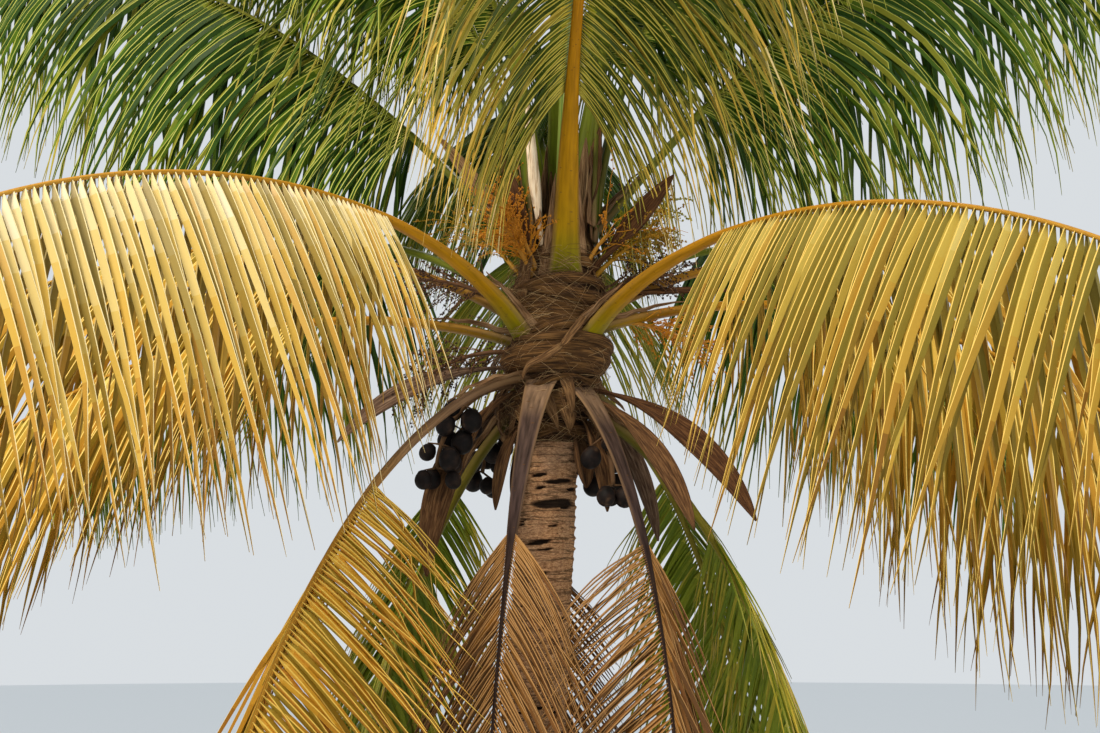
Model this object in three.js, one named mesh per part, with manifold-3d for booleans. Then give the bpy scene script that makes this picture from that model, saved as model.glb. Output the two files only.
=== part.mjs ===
// A dwarf coconut palm: a slim leaning trunk, the fibre-wrapped column that its leaf bases make,
// a spear of unopened leaf, and fronds from erect green ones at the heart to dead ones that hang
// down along the trunk. Millimetres, +Z up. The origin is the middle of the flat cut under the trunk.
import * as THREE from 'three';
import { mergeVertices } from 'three/addons/utils/BufferGeometryUtils.js';
import Module from 'manifold-3d';

// Trunk
const TRUNK_HEIGHT = 3500;
const TRUNK_LEAN = 140; // how far the axis has moved towards +X at the top of the trunk
const LEAN_POWER = 1.25; // above 1, so the trunk leaves the ground nearly upright
const TRUNK_RADIUS = 122; // above the flare
const TRUNK_TAPER = 10; // radius lost from there to the top
const FLARE_RADIUS = 78; // added at the ground
const FLARE_HEIGHT = 170; // the height over which the flare falls to about a third
const TRUNK_SIDES = 16;

// Crown column and spear
const COLUMN_HEIGHT = 920;
const COLUMN_SIDES = 16;
const SPEAR_HEIGHT = 2150;
const SPEAR_RADIUS = 34;
const SPEAR_SIDES = 6;

// Fronds
const PETIOLE_WIDTH = 108; // where it leaves the column
const PETIOLE_NECK = 70; // where the first leaflets grow
const PETIOLE_DEPTH = 46;
const NECK_DEPTH = 34;
const RIB_DEPTH = 30;
const BLADE_DEPTH = 22;
const EDGE_DEPTH = 16;
const FOOT_RADIUS = 130; // distance of a petiole's foot from the column's axis
const LEAFLET_LENGTH = 1000; // the longest leaflet, before a frond's own scale
const RIB_STEPS = 60;
const LEAFLET_STEPS = 8;
const GAP = 0.5; // clearance between neighbouring solids
const CUT_CLEARANCE = 2; // how much a blade is grown before it cuts the next

const COLOURS = {
  green: 0x4f6b2a,
  lime: 0x8f9440,
  gold: 0xc0962f,
  ochre: 0xa8752a,
  dead: 0x6b5240,
  trunk: 0x7a6250,
  fibre: 0x6e4f3a,
};

// Each frond: its compass angle (0 along +X, -90 along -Y), the height of its foot over the trunk,
// the angles at which it climbs at the foot and points at its tip, its length, how early it bends
// (below 1 is early), how far it swings round sideways, the leaflets' droop (0 to 1), the leaflets'
// angle to the rib at the first and the last pair, how far they are folded up (down if negative),
// their length scale and the colour. Some have more: how far the blade is turned about its rib
// (twist), the share of it without leaflets (stalk), how late the leaflets droop (sag), and the side
// whose leaflets have closed along the rib (shut, 1 or -1). Angles are in degrees.
const FRONDS = [
  // the ring that faces the camera
  { name: 'front_left', compass: -135, foot: 340, climb: 82, dip: -37, length: 3800, bend: 0.36,
    swing: 28, droop: 0.6, open: [122, 56], fold: -62, leaf: 1.25, colour: 'gold' },
  { name: 'front_right', compass: -46, foot: 310, climb: 80, dip: -40, length: 3800, bend: 0.36,
    swing: -26, droop: 0.6, open: [122, 56], fold: -62, leaf: 1.25, colour: 'gold' },
  { name: 'front_middle', compass: -78, foot: 660, climb: 84, dip: -20, length: 3700, bend: 1.5,
    swing: 10, droop: 0.85, open: [132, 48], fold: -12, leaf: 1.4, twist: 18, stalk: 0.2, sag: 0.7,
    colour: 'lime' },
  { name: 'side_left', compass: 186, foot: 400, climb: 20, dip: -64, length: 3600, bend: 0.8,
    swing: 4, droop: 0.45, open: [60, 30], fold: -40, leaf: 1.1, colour: 'gold' },
  { name: 'side_right', compass: -4, foot: 450, climb: 22, dip: -66, length: 3700, bend: 0.8,
    swing: 0, droop: 0.7, open: [90, 45], fold: -50, leaf: 1.4, colour: 'gold' },
  { name: 'mid_left', compass: 174, foot: 480, climb: 40, dip: -44, length: 3600, bend: 0.7,
    swing: 0, droop: 0.6, open: [66, 38], fold: -40, leaf: 1.3, colour: 'gold' },
  { name: 'mid_right', compass: 6, foot: 500, climb: 38, dip: -46, length: 3600, bend: 0.7,
    swing: 0, droop: 0.6, open: [66, 38], fold: -40, leaf: 1.3, colour: 'gold' },
  // the high green ones
  { name: 'upper_left', compass: 158, foot: 780, climb: 47, dip: -4, length: 3900, bend: 1.6,
    swing: -22, droop: 0.88, open: [84, 42], fold: -56, leaf: 1.3, stalk: 0.2, colour: 'green' },
  { name: 'upper_right', compass: 20, foot: 860, climb: 50, dip: -10, length: 3800, bend: 1.7,
    swing: 20, droop: 0.9, open: [80, 40], fold: -48, leaf: 1.3, stalk: 0.2, colour: 'green' },
  { name: 'high_left', compass: 168, foot: 800, climb: 84, dip: -20, length: 3600, bend: 1.3,
    swing: 0, droop: 0.8, open: [80, 32], fold: -30, leaf: 0.95, colour: 'green' },
  { name: 'high_right', compass: 12, foot: 820, climb: 84, dip: -22, length: 3600, bend: 1.3,
    swing: 0, droop: 0.8, open: [80, 32], fold: -30, leaf: 0.95, colour: 'green' },
  { name: 'high_back_left', compass: 124, foot: 780, climb: 84, dip: -22, length: 3800, bend: 1.3,
    swing: 14, droop: 0.8, open: [84, 30], fold: -20, leaf: 1.35, colour: 'green' },
  { name: 'high_back_right', compass: 62, foot: 780, climb: 82, dip: -24, length: 3800, bend: 1.3,
    swing: -10, droop: 0.8, open: [84, 30], fold: -20, leaf: 1.35, colour: 'green' },
  { name: 'heart_left', compass: 190, foot: 880, climb: 88, dip: 28, length: 3000, bend: 2,
    swing: 0, droop: 0.4, open: [80, 20], fold: 20, leaf: 0.8, stalk: 0.36, colour: 'green' },
  { name: 'heart_right', compass: 0, foot: 880, climb: 88, dip: 30, length: 3000, bend: 2,
    swing: 0, droop: 0.4, open: [80, 20], fold: 20, leaf: 0.8, stalk: 0.36, colour: 'green' },
  { name: 'heart_back', compass: 93, foot: 900, climb: 88, dip: 12, length: 3300, bend: 1.8,
    swing: 0, droop: 0.5, open: [90, 22], fold: 15, leaf: 0.9, stalk: 0.36, colour: 'green' },
  // the middle ring at the back
  { name: 'back_left', compass: 138, foot: 500, climb: 42, dip: -52, length: 3700, bend: 0.9,
    swing: 0, droop: 0.8, open: [84, 34], fold: -30, leaf: 1.3, colour: 'green' },
  { name: 'back_right', compass: 44, foot: 500, climb: 42, dip: -54, length: 3700, bend: 0.9,
    swing: 0, droop: 0.8, open: [84, 34], fold: -30, leaf: 1.3, colour: 'green' },
  { name: 'back_high', compass: 96, foot: 640, climb: 66, dip: -36, length: 3800, bend: 1,
    swing: 0, droop: 0.8, open: [84, 30], fold: -20, leaf: 1.3, colour: 'green' },
  { name: 'back_middle', compass: 91, foot: 470, climb: 48, dip: -40, length: 3600, bend: 0.9,
    swing: 0, droop: 0.75, open: [90, 34], fold: -30, leaf: 1.25, colour: 'lime' },
  // old ones that hang beside the trunk
  { name: 'hanging_left', compass: 218, foot: 250, climb: 22, dip: -90, length: 3500, bend: 0.32,
    swing: 0, droop: 0.3, open: [76, 50], fold: -35, leaf: 1, shut: -1, colour: 'ochre' },
  { name: 'dead_left', compass: 254, foot: 250, climb: 0, dip: -90, length: 3100, bend: 0.2,
    swing: -6, droop: 0.5, open: [42, 25], fold: -15, leaf: 0.9, colour: 'dead' },
  { name: 'dead_right', compass: 312, foot: 220, climb: 20, dip: -94, length: 3100, bend: 0.16,
    swing: -30, droop: 0.42, open: [66, 40], fold: -15, leaf: 0.95, shut: 1, colour: 'dead' },
  { name: 'hanging_right', compass: 18, foot: 140, climb: 14, dip: -88, length: 3100, bend: 0.26,
    swing: 0, droop: 0.4, open: [50, 25], fold: -20, leaf: 0.85, colour: 'lime' },
  { name: 'drooping_left', compass: 160, foot: 140, climb: 0, dip: -88, length: 3000, bend: 0.2,
    swing: 0, droop: 0.4, open: [50, 25], fold: -20, leaf: 0.8, colour: 'lime' },
  { name: 'hanging_back_left', compass: 122, foot: 240, climb: 16, dip: -86, length: 3400, bend: 0.4,
    swing: 0, droop: 0.5, open: [55, 30], fold: -30, leaf: 0.9, colour: 'lime' },
  { name: 'hanging_back_right', compass: 56, foot: 240, climb: 18, dip: -86, length: 3400, bend: 0.4,
    swing: 0, droop: 0.5, open: [55, 30], fold: -30, leaf: 0.9, colour: 'lime' },
  { name: 'dead_back', compass: 90, foot: 120, climb: -6, dip: -89, length: 3000, bend: 0.22,
    swing: 0, droop: 0.3, open: [48, 25], fold: -15, leaf: 0.65, colour: 'dead' },
];
const STALK_SHARE = 0.25; // of a frond's length, without leaflets, unless the frond has its own
const STEEP_EASE = 0.75; // how much of the leaflets' droop a rib loses where it stands upright
const SAG = { gold: 0.5, ochre: 0.8, green: 0.65, lime: 1, dead: 1 }; // above 1 droops late, below 1 early
const SHUT_SHARE = 0.4; // of the leaflets' angle to the rib, on the side where they have closed
const STALK_BEND = 0.36; // share of the stalk at which it is bent
const ARCHING_ROWS = [0.02, 0.18, 0.4, 0.6, 0.8, 1]; // places of the blade's rows
const HANGING_ROWS = [0.02, 0.11, 0.2, 0.42, 0.7, 1];
const STEEP_DIP = -80; // a frond that points lower than this at its tip hangs
const PARTING_ROW = 2; // the row where a frond is parted in two

const wasm = await Module();
wasm.setup();

const radians = THREE.MathUtils.degToRad;
const mix = THREE.MathUtils.lerp;

// The trunk's axis at a height, carried straight on above the trunk's top.
function axisX(z) {
  const share = z / TRUNK_HEIGHT;
  if (share > 1) return TRUNK_LEAN * (1 + LEAN_POWER * (share - 1));
  return TRUNK_LEAN * share ** LEAN_POWER;
}

// A round solid about the leaning axis, from a profile of [radius, height] pairs.
function leaning(profile, sides, foot) {
  const points = profile.map(([radius, height]) => new THREE.Vector2(radius, height));
  const geometry = new THREE.LatheGeometry(points, sides);
  geometry.deleteAttribute('normal');
  geometry.deleteAttribute('uv');
  const place = geometry.getAttribute('position');
  for (let i = 0; i < place.count; i += 1) {
    const z = place.getY(i) + foot;
    place.setXYZ(i, place.getX(i) + axisX(z), -place.getZ(i), z);
  }
  return mergeVertices(geometry, 0.01);
}

function trunkGeometry() {
  const profile = [[0, 0]];
  const heights = [0, 60, 130, 220, 340, 500, 1000, 1800, 2600, TRUNK_HEIGHT];
  for (const z of heights) {
    const taper = TRUNK_RADIUS - TRUNK_TAPER * z / TRUNK_HEIGHT;
    profile.push([taper + FLARE_RADIUS * Math.exp(-z / FLARE_HEIGHT), z]);
  }
  profile.push([0, TRUNK_HEIGHT]);
  return leaning(profile, TRUNK_SIDES, 0);
}

// The column swells over the fibre dome, is widest where the big petioles leave it, and
// narrows to the heart. Both ends are flat.
function columnGeometry(grow) {
  const profile = [[0, -grow], [118 + grow, -grow], [142 + grow, 40], [160 + grow, 130], [156 + grow, 240],
    [192 + grow, 330], [198 + grow, 440], [176 + grow, 600], [138 + grow, 740], [96 + grow, 850],
    [52 + grow, COLUMN_HEIGHT + grow], [0, COLUMN_HEIGHT + grow]];
  return leaning(profile, COLUMN_SIDES, TRUNK_HEIGHT + GAP);
}

function spearGeometry(grow) {
  const profile = [[0, -grow]];
  for (const share of [0, 0.25, 0.5, 0.75, 0.93]) {
    const radius = SPEAR_RADIUS * (0.8 + 0.6 * share) * Math.sqrt(1 - share * share);
    profile.push([radius + grow, share * SPEAR_HEIGHT - (share ? 0 : grow)]);
  }
  profile.push([0, SPEAR_HEIGHT + grow]);
  return leaning(profile, SPEAR_SIDES, TRUNK_HEIGHT + COLUMN_HEIGHT + 2 * GAP);
}

// The frond's rib: points along it, each with the rib's direction, its level crossways
// direction and the direction square to both.
function ribOf(frond) {
  const around = radians(frond.compass);
  const axis = axisX(TRUNK_HEIGHT + frond.foot);
  const point = new THREE.Vector3(axis + FOOT_RADIUS * Math.cos(around),
    FOOT_RADIUS * Math.sin(around), TRUNK_HEIGHT + frond.foot);
  const step = frond.length / RIB_STEPS;
  const rib = [];
  for (let i = 0; i <= RIB_STEPS; i += 1) {
    const share = i / RIB_STEPS;
    const rise = radians(mix(frond.climb, frond.dip, share ** frond.bend));
    const turn = radians(frond.compass + frond.swing * share ** 1.5);
    const along = new THREE.Vector3(Math.cos(rise) * Math.cos(turn),
      Math.cos(rise) * Math.sin(turn), Math.sin(rise));
    const across = new THREE.Vector3(-Math.sin(turn), Math.cos(turn), 0);
    const up = along.clone().cross(across);
    const twist = radians(frond.twist ?? 0) * THREE.MathUtils.clamp((share - 0.15) / 0.4, 0, 1);
    across.applyAxisAngle(along, twist);
    up.applyAxisAngle(along, twist);
    if (i > 0) {
      const last = rib[i - 1].along;
      point.addScaledVector(last.clone().add(along), step / 2);
    }
    rib.push({ point: point.clone(), along, across, up, share });
  }
  return rib;
}

// How long a leaflet is against the longest, from the first pair (0) to the last (1).
function leafletShare(place) {
  if (place < 0.3) return 0.55 + 0.45 * Math.sin(place / 0.3 * Math.PI / 2);
  return 1 - 0.62 * ((place - 0.3) / 0.7) ** 1.7;
}

// The middle and the tip of the leaflet that grows on one side at a place along the rib. It
// leaves at its angle to the rib and turns towards straight down as it goes out, less so where
// the rib is steep, because leaflets that hang along a rib would lie in one another.
function leafletPoints(frond, spot, place, side) {
  const shut = frond.shut === side ? SHUT_SHARE : 1;
  const angle = radians(mix(frond.open[1], frond.open[0], (1 - place) ** 1.6) * shut);
  const fold = radians(frond.fold);
  const start = spot.along.clone().multiplyScalar(Math.cos(angle));
  start.addScaledVector(spot.across, side * Math.sin(angle) * Math.cos(fold));
  start.addScaledVector(spot.up, Math.sin(angle) * Math.sin(fold));
  const droop = frond.droop * (1 - STEEP_EASE * Math.max(0, spot.along.z) ** 2);
  const step = LEAFLET_LENGTH * frond.leaf * leafletShare(place) / LEAFLET_STEPS;
  const point = spot.point.clone();
  const found = [];
  for (let i = 1; i <= LEAFLET_STEPS; i += 1) {
    const pull = droop * ((i - 0.5) / LEAFLET_STEPS) ** (frond.sag ?? SAG[frond.colour]);
    const way = start.clone().multiplyScalar(1 - pull);
    way.z -= pull;
    way.normalize();
    point.addScaledVector(way, step);
    if (i === LEAFLET_STEPS / 2 || i === LEAFLET_STEPS) found.push({ point: point.clone(), way });
  }
  return found;
}

// Five points across the petiole, each with its depth and its directions away from the rib and out.
function petioleRow(spot, stalk) {
  const share = Math.min(1, spot.share / stalk);
  const half = mix(PETIOLE_WIDTH, PETIOLE_NECK, share) / 2;
  const depth = mix(PETIOLE_DEPTH, NECK_DEPTH, share);
  return [-1, -0.5, 0, 0.5, 1].map((side) => ({
    point: spot.point.clone().addScaledVector(spot.across, side * half),
    way: spot.across.clone().multiplyScalar(Math.sign(side)),
    out: spot.up,
    depth: depth * (1 - 0.4 * side * side),
  }));
}

// Five points across the blade: tip, middle, rib, middle, tip.
function bladeRow(frond, spot, place) {
  const [leftMiddle, leftTip] = leafletPoints(frond, spot, place, -1);
  const [rightMiddle, rightTip] = leafletPoints(frond, spot, place, 1);
  return [
    { ...leftTip, depth: EDGE_DEPTH },
    { ...leftMiddle, depth: BLADE_DEPTH },
    { point: spot.point, way: new THREE.Vector3(), depth: RIB_DEPTH },
    { ...rightMiddle, depth: BLADE_DEPTH },
    { ...rightTip, depth: EDGE_DEPTH },
  ];
}

// The outward direction at every point of the blade's grid, from its neighbours along and across.
function setOutward(rows) {
  rows.forEach((row, i) => {
    const before = rows[Math.max(i - 1, 0)];
    const after = rows[Math.min(i + 1, rows.length - 1)];
    row.forEach((spot, j) => {
      const along = after[j].point.clone().sub(before[j].point);
      const across = row[Math.min(j + 1, row.length - 1)].point.clone().sub(row[Math.max(j - 1, 0)].point);
      spot.out = along.cross(across).normalize();
    });
  });
}

// The closed thin solid between two like grids of points, one on each side of the blade.
function slab(rows, grow) {
  const wide = rows[0].length;
  const long = rows.length;
  const points = [];
  for (const side of [1, -1]) {
    rows.forEach((row, i) => {
      const end = (i === 0 ? -grow : 0) + (i === long - 1 ? grow : 0);
      row.forEach((spot, j) => {
        const edge = j === 0 || j === wide - 1 ? grow : 0;
        const place = spot.point.clone().addScaledVector(spot.out, side * (spot.depth / 2 + grow));
        place.addScaledVector(spot.way, edge).addScaledVector(row.along, end);
        points.push(place);
      });
    });
  }
  const triangles = [];
  const quad = (a, b, c, d) => triangles.push(a, b, c, a, c, d);
  const under = wide * long;
  for (let i = 0; i < long - 1; i += 1) {
    for (let j = 0; j < wide - 1; j += 1) {
      const a = i * wide + j;
      quad(a, a + wide, a + wide + 1, a + 1);
      quad(under + a, under + a + 1, under + a + wide + 1, under + a + wide);
    }
    const left = i * wide;
    const right = left + wide - 1;
    quad(left, under + left, under + left + wide, left + wide);
    quad(right, right + wide, under + right + wide, under + right);
  }
  for (let j = 0; j < wide - 1; j += 1) {
    const last = (long - 1) * wide + j;
    quad(j, j + 1, under + j + 1, under + j);
    quad(last, under + last, under + last + 1, last + 1);
  }
  const geometry = new THREE.BufferGeometry();
  geometry.setAttribute('position', new THREE.BufferAttribute(
    new Float32Array(points.flatMap((p) => [p.x, p.y, p.z])), 3));
  geometry.setIndex(triangles);
  return geometry;
}

// A frond's rows, parted where it bends: the petiole with the first of the blade, then the rest.
function frondRows(frond) {
  const rib = ribOf(frond);
  const stalk = frond.stalk ?? STALK_SHARE;
  const first = Math.round(stalk * RIB_STEPS);
  const stops = frond.dip < STEEP_DIP ? HANGING_ROWS : ARCHING_ROWS;
  const parting = Math.round(first + stops[PARTING_ROW] * (RIB_STEPS - first));
  const rows = [];
  for (const i of [0, Math.round(first * STALK_BEND), first - 1]) {
    rows.push(Object.assign(petioleRow(rib[i], stalk), { step: i, along: rib[i].along }));
  }
  const blade = stops.map((place) => {
    const i = Math.round(first + place * (RIB_STEPS - first));
    return Object.assign(bladeRow(frond, rib[i], place), { step: i, along: rib[i].along });
  });
  setOutward(blade);
  rows.push(...blade);
  const inner = rows.filter((row) => row.step <= parting);
  const outer = rows.filter((row) => row.step >= parting);
  return { inner, outer };
}

function solidOf(geometry) {
  return new wasm.Manifold(new wasm.Mesh({
    numProp: 3,
    vertProperties: new Float32Array(geometry.getAttribute('position').array),
    triVerts: new Uint32Array(geometry.getIndex().array),
  }));
}

function geometryOf(solid) {
  const mesh = solid.getMesh();
  const geometry = new THREE.BufferGeometry();
  geometry.setAttribute('position', new THREE.BufferAttribute(mesh.vertProperties, 3));
  geometry.setIndex(new THREE.BufferAttribute(mesh.triVerts, 1));
  return geometry;
}

const palm = new THREE.Group();

function addPiece(name, geometry, colour) {
  const material = new THREE.MeshStandardMaterial({ color: COLOURS[colour], roughness: 0.8, metalness: 0 });
  const piece = new THREE.Mesh(geometry, material);
  piece.name = name;
  palm.add(piece);
}

// Leaves that cross: the later one stops at the earlier one, and only its main body is kept.
let taken = solidOf(columnGeometry(GAP)).add(solidOf(spearGeometry(GAP)));

function addBlade(name, rows, colour) {
  const whole = solidOf(slab(rows, 0));
  const bodies = whole.subtract(taken).decompose();
  bodies.sort((a, b) => b.volume() - a.volume());
  addPiece(name, geometryOf(bodies[0]), colour);
  taken = taken.add(solidOf(slab(rows, CUT_CLEARANCE)));
}

addPiece('trunk', trunkGeometry(), 'trunk');
addPiece('crown_column', columnGeometry(0), 'fibre');
addPiece('spear_leaf', spearGeometry(0), 'lime');
for (const frond of FRONDS) {
  const { inner, outer } = frondRows(frond);
  addBlade(`frond_${frond.name}_inner`, inner, frond.colour);
  addBlade(`frond_${frond.name}_outer`, outer, frond.colour);
}

export default palm;
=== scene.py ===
"""A dwarf coconut palm, built up from its trunk: bark, the crown column in its wraps and loose fibre,
every frond's rib and leaflets, then spathes, flower stalks, nuts and the spear of unopened leaf.
Metres, +Z up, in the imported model's frame. The camera stands where the photograph's did."""

import math

import bpy
import numpy as np
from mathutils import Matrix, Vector, noise


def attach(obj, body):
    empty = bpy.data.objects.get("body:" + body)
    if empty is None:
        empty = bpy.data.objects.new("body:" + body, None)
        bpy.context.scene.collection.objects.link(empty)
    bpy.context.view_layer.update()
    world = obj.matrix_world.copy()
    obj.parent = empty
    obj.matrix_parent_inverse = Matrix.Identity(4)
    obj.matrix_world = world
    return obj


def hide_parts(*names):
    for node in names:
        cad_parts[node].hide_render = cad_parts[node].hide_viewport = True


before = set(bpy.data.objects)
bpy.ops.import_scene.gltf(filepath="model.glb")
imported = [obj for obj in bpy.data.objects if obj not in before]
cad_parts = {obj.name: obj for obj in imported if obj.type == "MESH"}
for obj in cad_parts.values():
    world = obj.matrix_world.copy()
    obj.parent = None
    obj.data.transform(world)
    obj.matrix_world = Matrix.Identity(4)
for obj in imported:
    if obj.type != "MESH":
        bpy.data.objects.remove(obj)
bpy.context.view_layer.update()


# The trunk is one unbranched stem of fibrous wood, about 0.23 m thick. Every fallen leaf has left a
# low ring on it, the fibres between the rings have cracked open in dark lenses, and the foot flares
# a little where it stands in the ground.
TRUNK_HEIGHT = 3.5
TRUNK_LEAN = 0.14
LEAN_POWER = 1.25
TRUNK_RADIUS = 0.122
TRUNK_TAPER = 0.010
FLARE_RADIUS = 0.078
FLARE_HEIGHT = 0.17
TRUNK_SIDES = 104
TRUNK_ROWS = 640
RING_SPACING = 0.044  # from one leaf scar to the next
RING_DEPTH = 0.004
LEDGE_DEPTH = 0.006  # added to the rings just under the crown, where the leaf bases broke off last
LEDGE_REACH = 0.45
LIP_PLACE = 0.86  # of the way up a ring
LIP_SPREAD = 0.13
FIBRE_DEPTH = 0.002
WAVE_DEPTH = 0.006
CRACKS = 150
CRACK_DEPTH = 0.018
CRACK_SPAN = (0.012, 0.055)  # half the width of the narrowest and the widest
CRACK_RISE = (0.003, 0.009)  # half their heights
# The biggest cracks: compass, level, half a span in degrees and half a height.
BIG_CRACKS = [(-72, 3.256, 62, 0.020), (-62, 3.345, 40, 0.010), (-108, 3.10, 30, 0.009),
              (-62, 2.80, 40, 0.013), (70, 3.20, 50, 0.018), (150, 3.05, 36, 0.012)]


def colour(code):
    """An sRGB hex value as the linear colour that a shader takes."""
    parts = [int(code[i:i + 2], 16) / 255 for i in (1, 3, 5)]
    linear = [p / 12.92 if p <= 0.04045 else ((p + 0.055) / 1.055) ** 2.4 for p in parts]
    return (*linear, 1.0)


def output_of(source):
    """A node's first output in use, or the socket itself where one is given."""
    if isinstance(source, bpy.types.NodeSocket):
        return source
    return next(socket for socket in source.outputs if socket.enabled)


def add_node(tree, kind, settings=None):
    """One shader node. Each setting names a socket or a property and gives its value, or the node or
    socket that feeds it; stops are those of a colour ramp."""
    made = tree.nodes.new("ShaderNode" + kind)
    for name, value in (settings or {}).items():
        if name == "stops":
            for place, _ in value[1:-1]:
                made.color_ramp.elements.new(place)
            for stop, (place, code) in zip(made.color_ramp.elements, value):
                stop.position = place
                stop.color = colour(code)
        elif isinstance(value, (bpy.types.Node, bpy.types.NodeSocket)):
            tree.links.new(output_of(value), made.inputs[name])
        elif isinstance(name, int) or name in made.inputs:
            made.inputs[name].default_value = value
        else:
            setattr(made, name, value)
    return made


def new_finish(name, settings):
    """A material with one Principled shader, its uniform values set on the shader's own sockets."""
    finish = bpy.data.materials.new(name)
    finish.use_nodes = True
    finish.node_tree.nodes.clear()
    shader = add_node(finish.node_tree, "BsdfPrincipled", settings)
    add_node(finish.node_tree, "OutputMaterial", {"Surface": shader})
    return finish, finish.node_tree, shader


def paint(tree, shader, base, height, strength, distance):
    """Feeds a shader its colour, and the relief of a pattern that stands a distance in metres proud."""
    bump = add_node(tree, "Bump", {"Strength": strength, "Distance": distance, "Height": height})
    tree.links.new(output_of(base), shader.inputs["Base Color"])
    tree.links.new(output_of(bump), shader.inputs["Normal"])


def trunk_x(height):
    """Where the leaning axis is at a height, carried straight on above the trunk's top."""
    share = np.maximum(np.asarray(height, float) / TRUNK_HEIGHT, 0)
    bent = TRUNK_LEAN * share ** LEAN_POWER
    return np.where(share > 1, TRUNK_LEAN * (1 + LEAN_POWER * (share - 1)), bent)


def round_stem(around, reach, level):
    """Points at a distance from the leaning axis, at an angle round it and at a level."""
    spots = np.broadcast_arrays(trunk_x(level) + reach * np.cos(around), reach * np.sin(around), level)
    return np.stack(spots, -1)


def grain(points, scale, octaves=3):
    """Smooth noise from -1 to 1 at each point, after the point is scaled along each axis."""
    scaled = np.asarray(points) * np.asarray(scale)
    return np.array([noise.fractal(p, 1.0, 2.0, octaves) for p in scaled.tolist()])


def keep(piece, slot, *nodes):
    """Fixes a finished piece to the palm's one body and hides the imported nodes that it replaces. slot is
    not used.
    """
    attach(piece, "root")
    if nodes:
        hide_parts(*nodes)


def rolled(name, sides, rows, shape):
    """A flat grid rolled up into a closed skin. shape gives each point's place and a value kept as the point
    attribute depth, which the bark and the spear turn into painted shade.
    """
    bpy.ops.object.select_all(action="DESELECT")
    bpy.ops.mesh.primitive_grid_add(x_subdivisions=sides, y_subdivisions=rows, size=2)
    piece = bpy.context.object
    piece.name = piece.data.name = name
    flat = np.empty(len(piece.data.vertices) * 3)
    piece.data.vertices.foreach_get("co", flat)
    flat = flat.reshape(-1, 3)
    places, depth = shape(flat[:, 0] * math.pi, (flat[:, 1] + 1) / 2)
    piece.data.vertices.foreach_set("co", places.ravel())
    piece.data.attributes.new("depth", "FLOAT", "POINT").data.foreach_set("value", depth)
    bpy.ops.object.mode_set(mode="EDIT")
    bpy.ops.mesh.select_all(action="SELECT")
    bpy.ops.mesh.remove_doubles(threshold=0.00001)
    bpy.ops.mesh.fill_holes(sides=0)
    bpy.ops.mesh.select_all(action="SELECT")
    bpy.ops.mesh.normals_make_consistent(inside=False)
    bpy.ops.object.mode_set(mode="OBJECT")
    bpy.ops.object.shade_smooth_by_angle(angle=math.radians(60))
    return piece


def trunk_shape(around, share):
    height = share * TRUNK_HEIGHT
    radius = TRUNK_RADIUS - TRUNK_TAPER * share + FLARE_RADIUS * np.exp(-height / FLARE_HEIGHT)
    spot = np.stack([np.cos(around), np.sin(around), height], -1)
    wander = grain(spot, (0.8, 0.8, 1.3), 2)
    rough = grain(spot, (3.0, 3.0, 60), 4)
    coarse = grain(spot, (1.3, 1.3, 5), 3)
    turns = height / RING_SPACING + wander * 0.55
    rise = turns - np.floor(turns)
    lip = np.exp(-((rise - LIP_PLACE) / LIP_SPREAD) ** 2) * np.clip(0.6 + coarse, 0.1, 1.2)
    ledge = LEDGE_DEPTH * np.exp((height - TRUNK_HEIGHT) / LEDGE_REACH)
    shelf = np.clip(rise / 0.8, 0, 1) ** 3 * np.clip((1.03 - rise) / 0.06, 0, 1)
    depth = RING_DEPTH * lip + ledge * shelf * np.clip(0.9 + coarse, 0.3, 1.4)
    depth = depth + FIBRE_DEPTH * rough + WAVE_DEPTH * coarse
    chance = np.random.default_rng(5)
    pit = np.zeros_like(depth)
    lenses = [(math.radians(c), level, math.radians(half), tall) for c, level, half, tall in BIG_CRACKS]
    for _ in range(CRACKS):
        middle = chance.uniform(-math.pi, math.pi)
        level = chance.uniform(0.15, TRUNK_HEIGHT - 0.1)
        half = chance.uniform(*CRACK_SPAN) / TRUNK_RADIUS
        tall = chance.uniform(*CRACK_RISE)
        lenses.append((middle, level, half, tall))
    for middle, level, half, tall in lenses:
        off = (around - middle + math.pi) % (2 * math.pi) - math.pi
        lens = 1 - (off / half) ** 2 - ((height - level - 0.004 * np.sin(off * 3)) / tall) ** 2
        pit = np.maximum(pit, np.clip(lens * 2, 0, 1) ** 0.6)
    depth = depth - CRACK_DEPTH * pit * np.clip(height / 0.3, 0, 1)
    depth = depth * np.clip(height / 0.01, 0, 1)
    # Painted shade: the value returned for the bark's colour falls under the lip of each ring and in the
    # cracks.
    under = np.exp(-((rise - 0.99) / 0.05) ** 2) + np.exp(-((rise + 0.01) / 0.05) ** 2)
    shade = np.clip(1 - 0.55 * under * np.clip(0.5 + wander + coarse, 0, 1), 0, 1)
    return round_stem(around, radius + depth, height), np.clip(1 - pit, 0, 1) * shade
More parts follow.
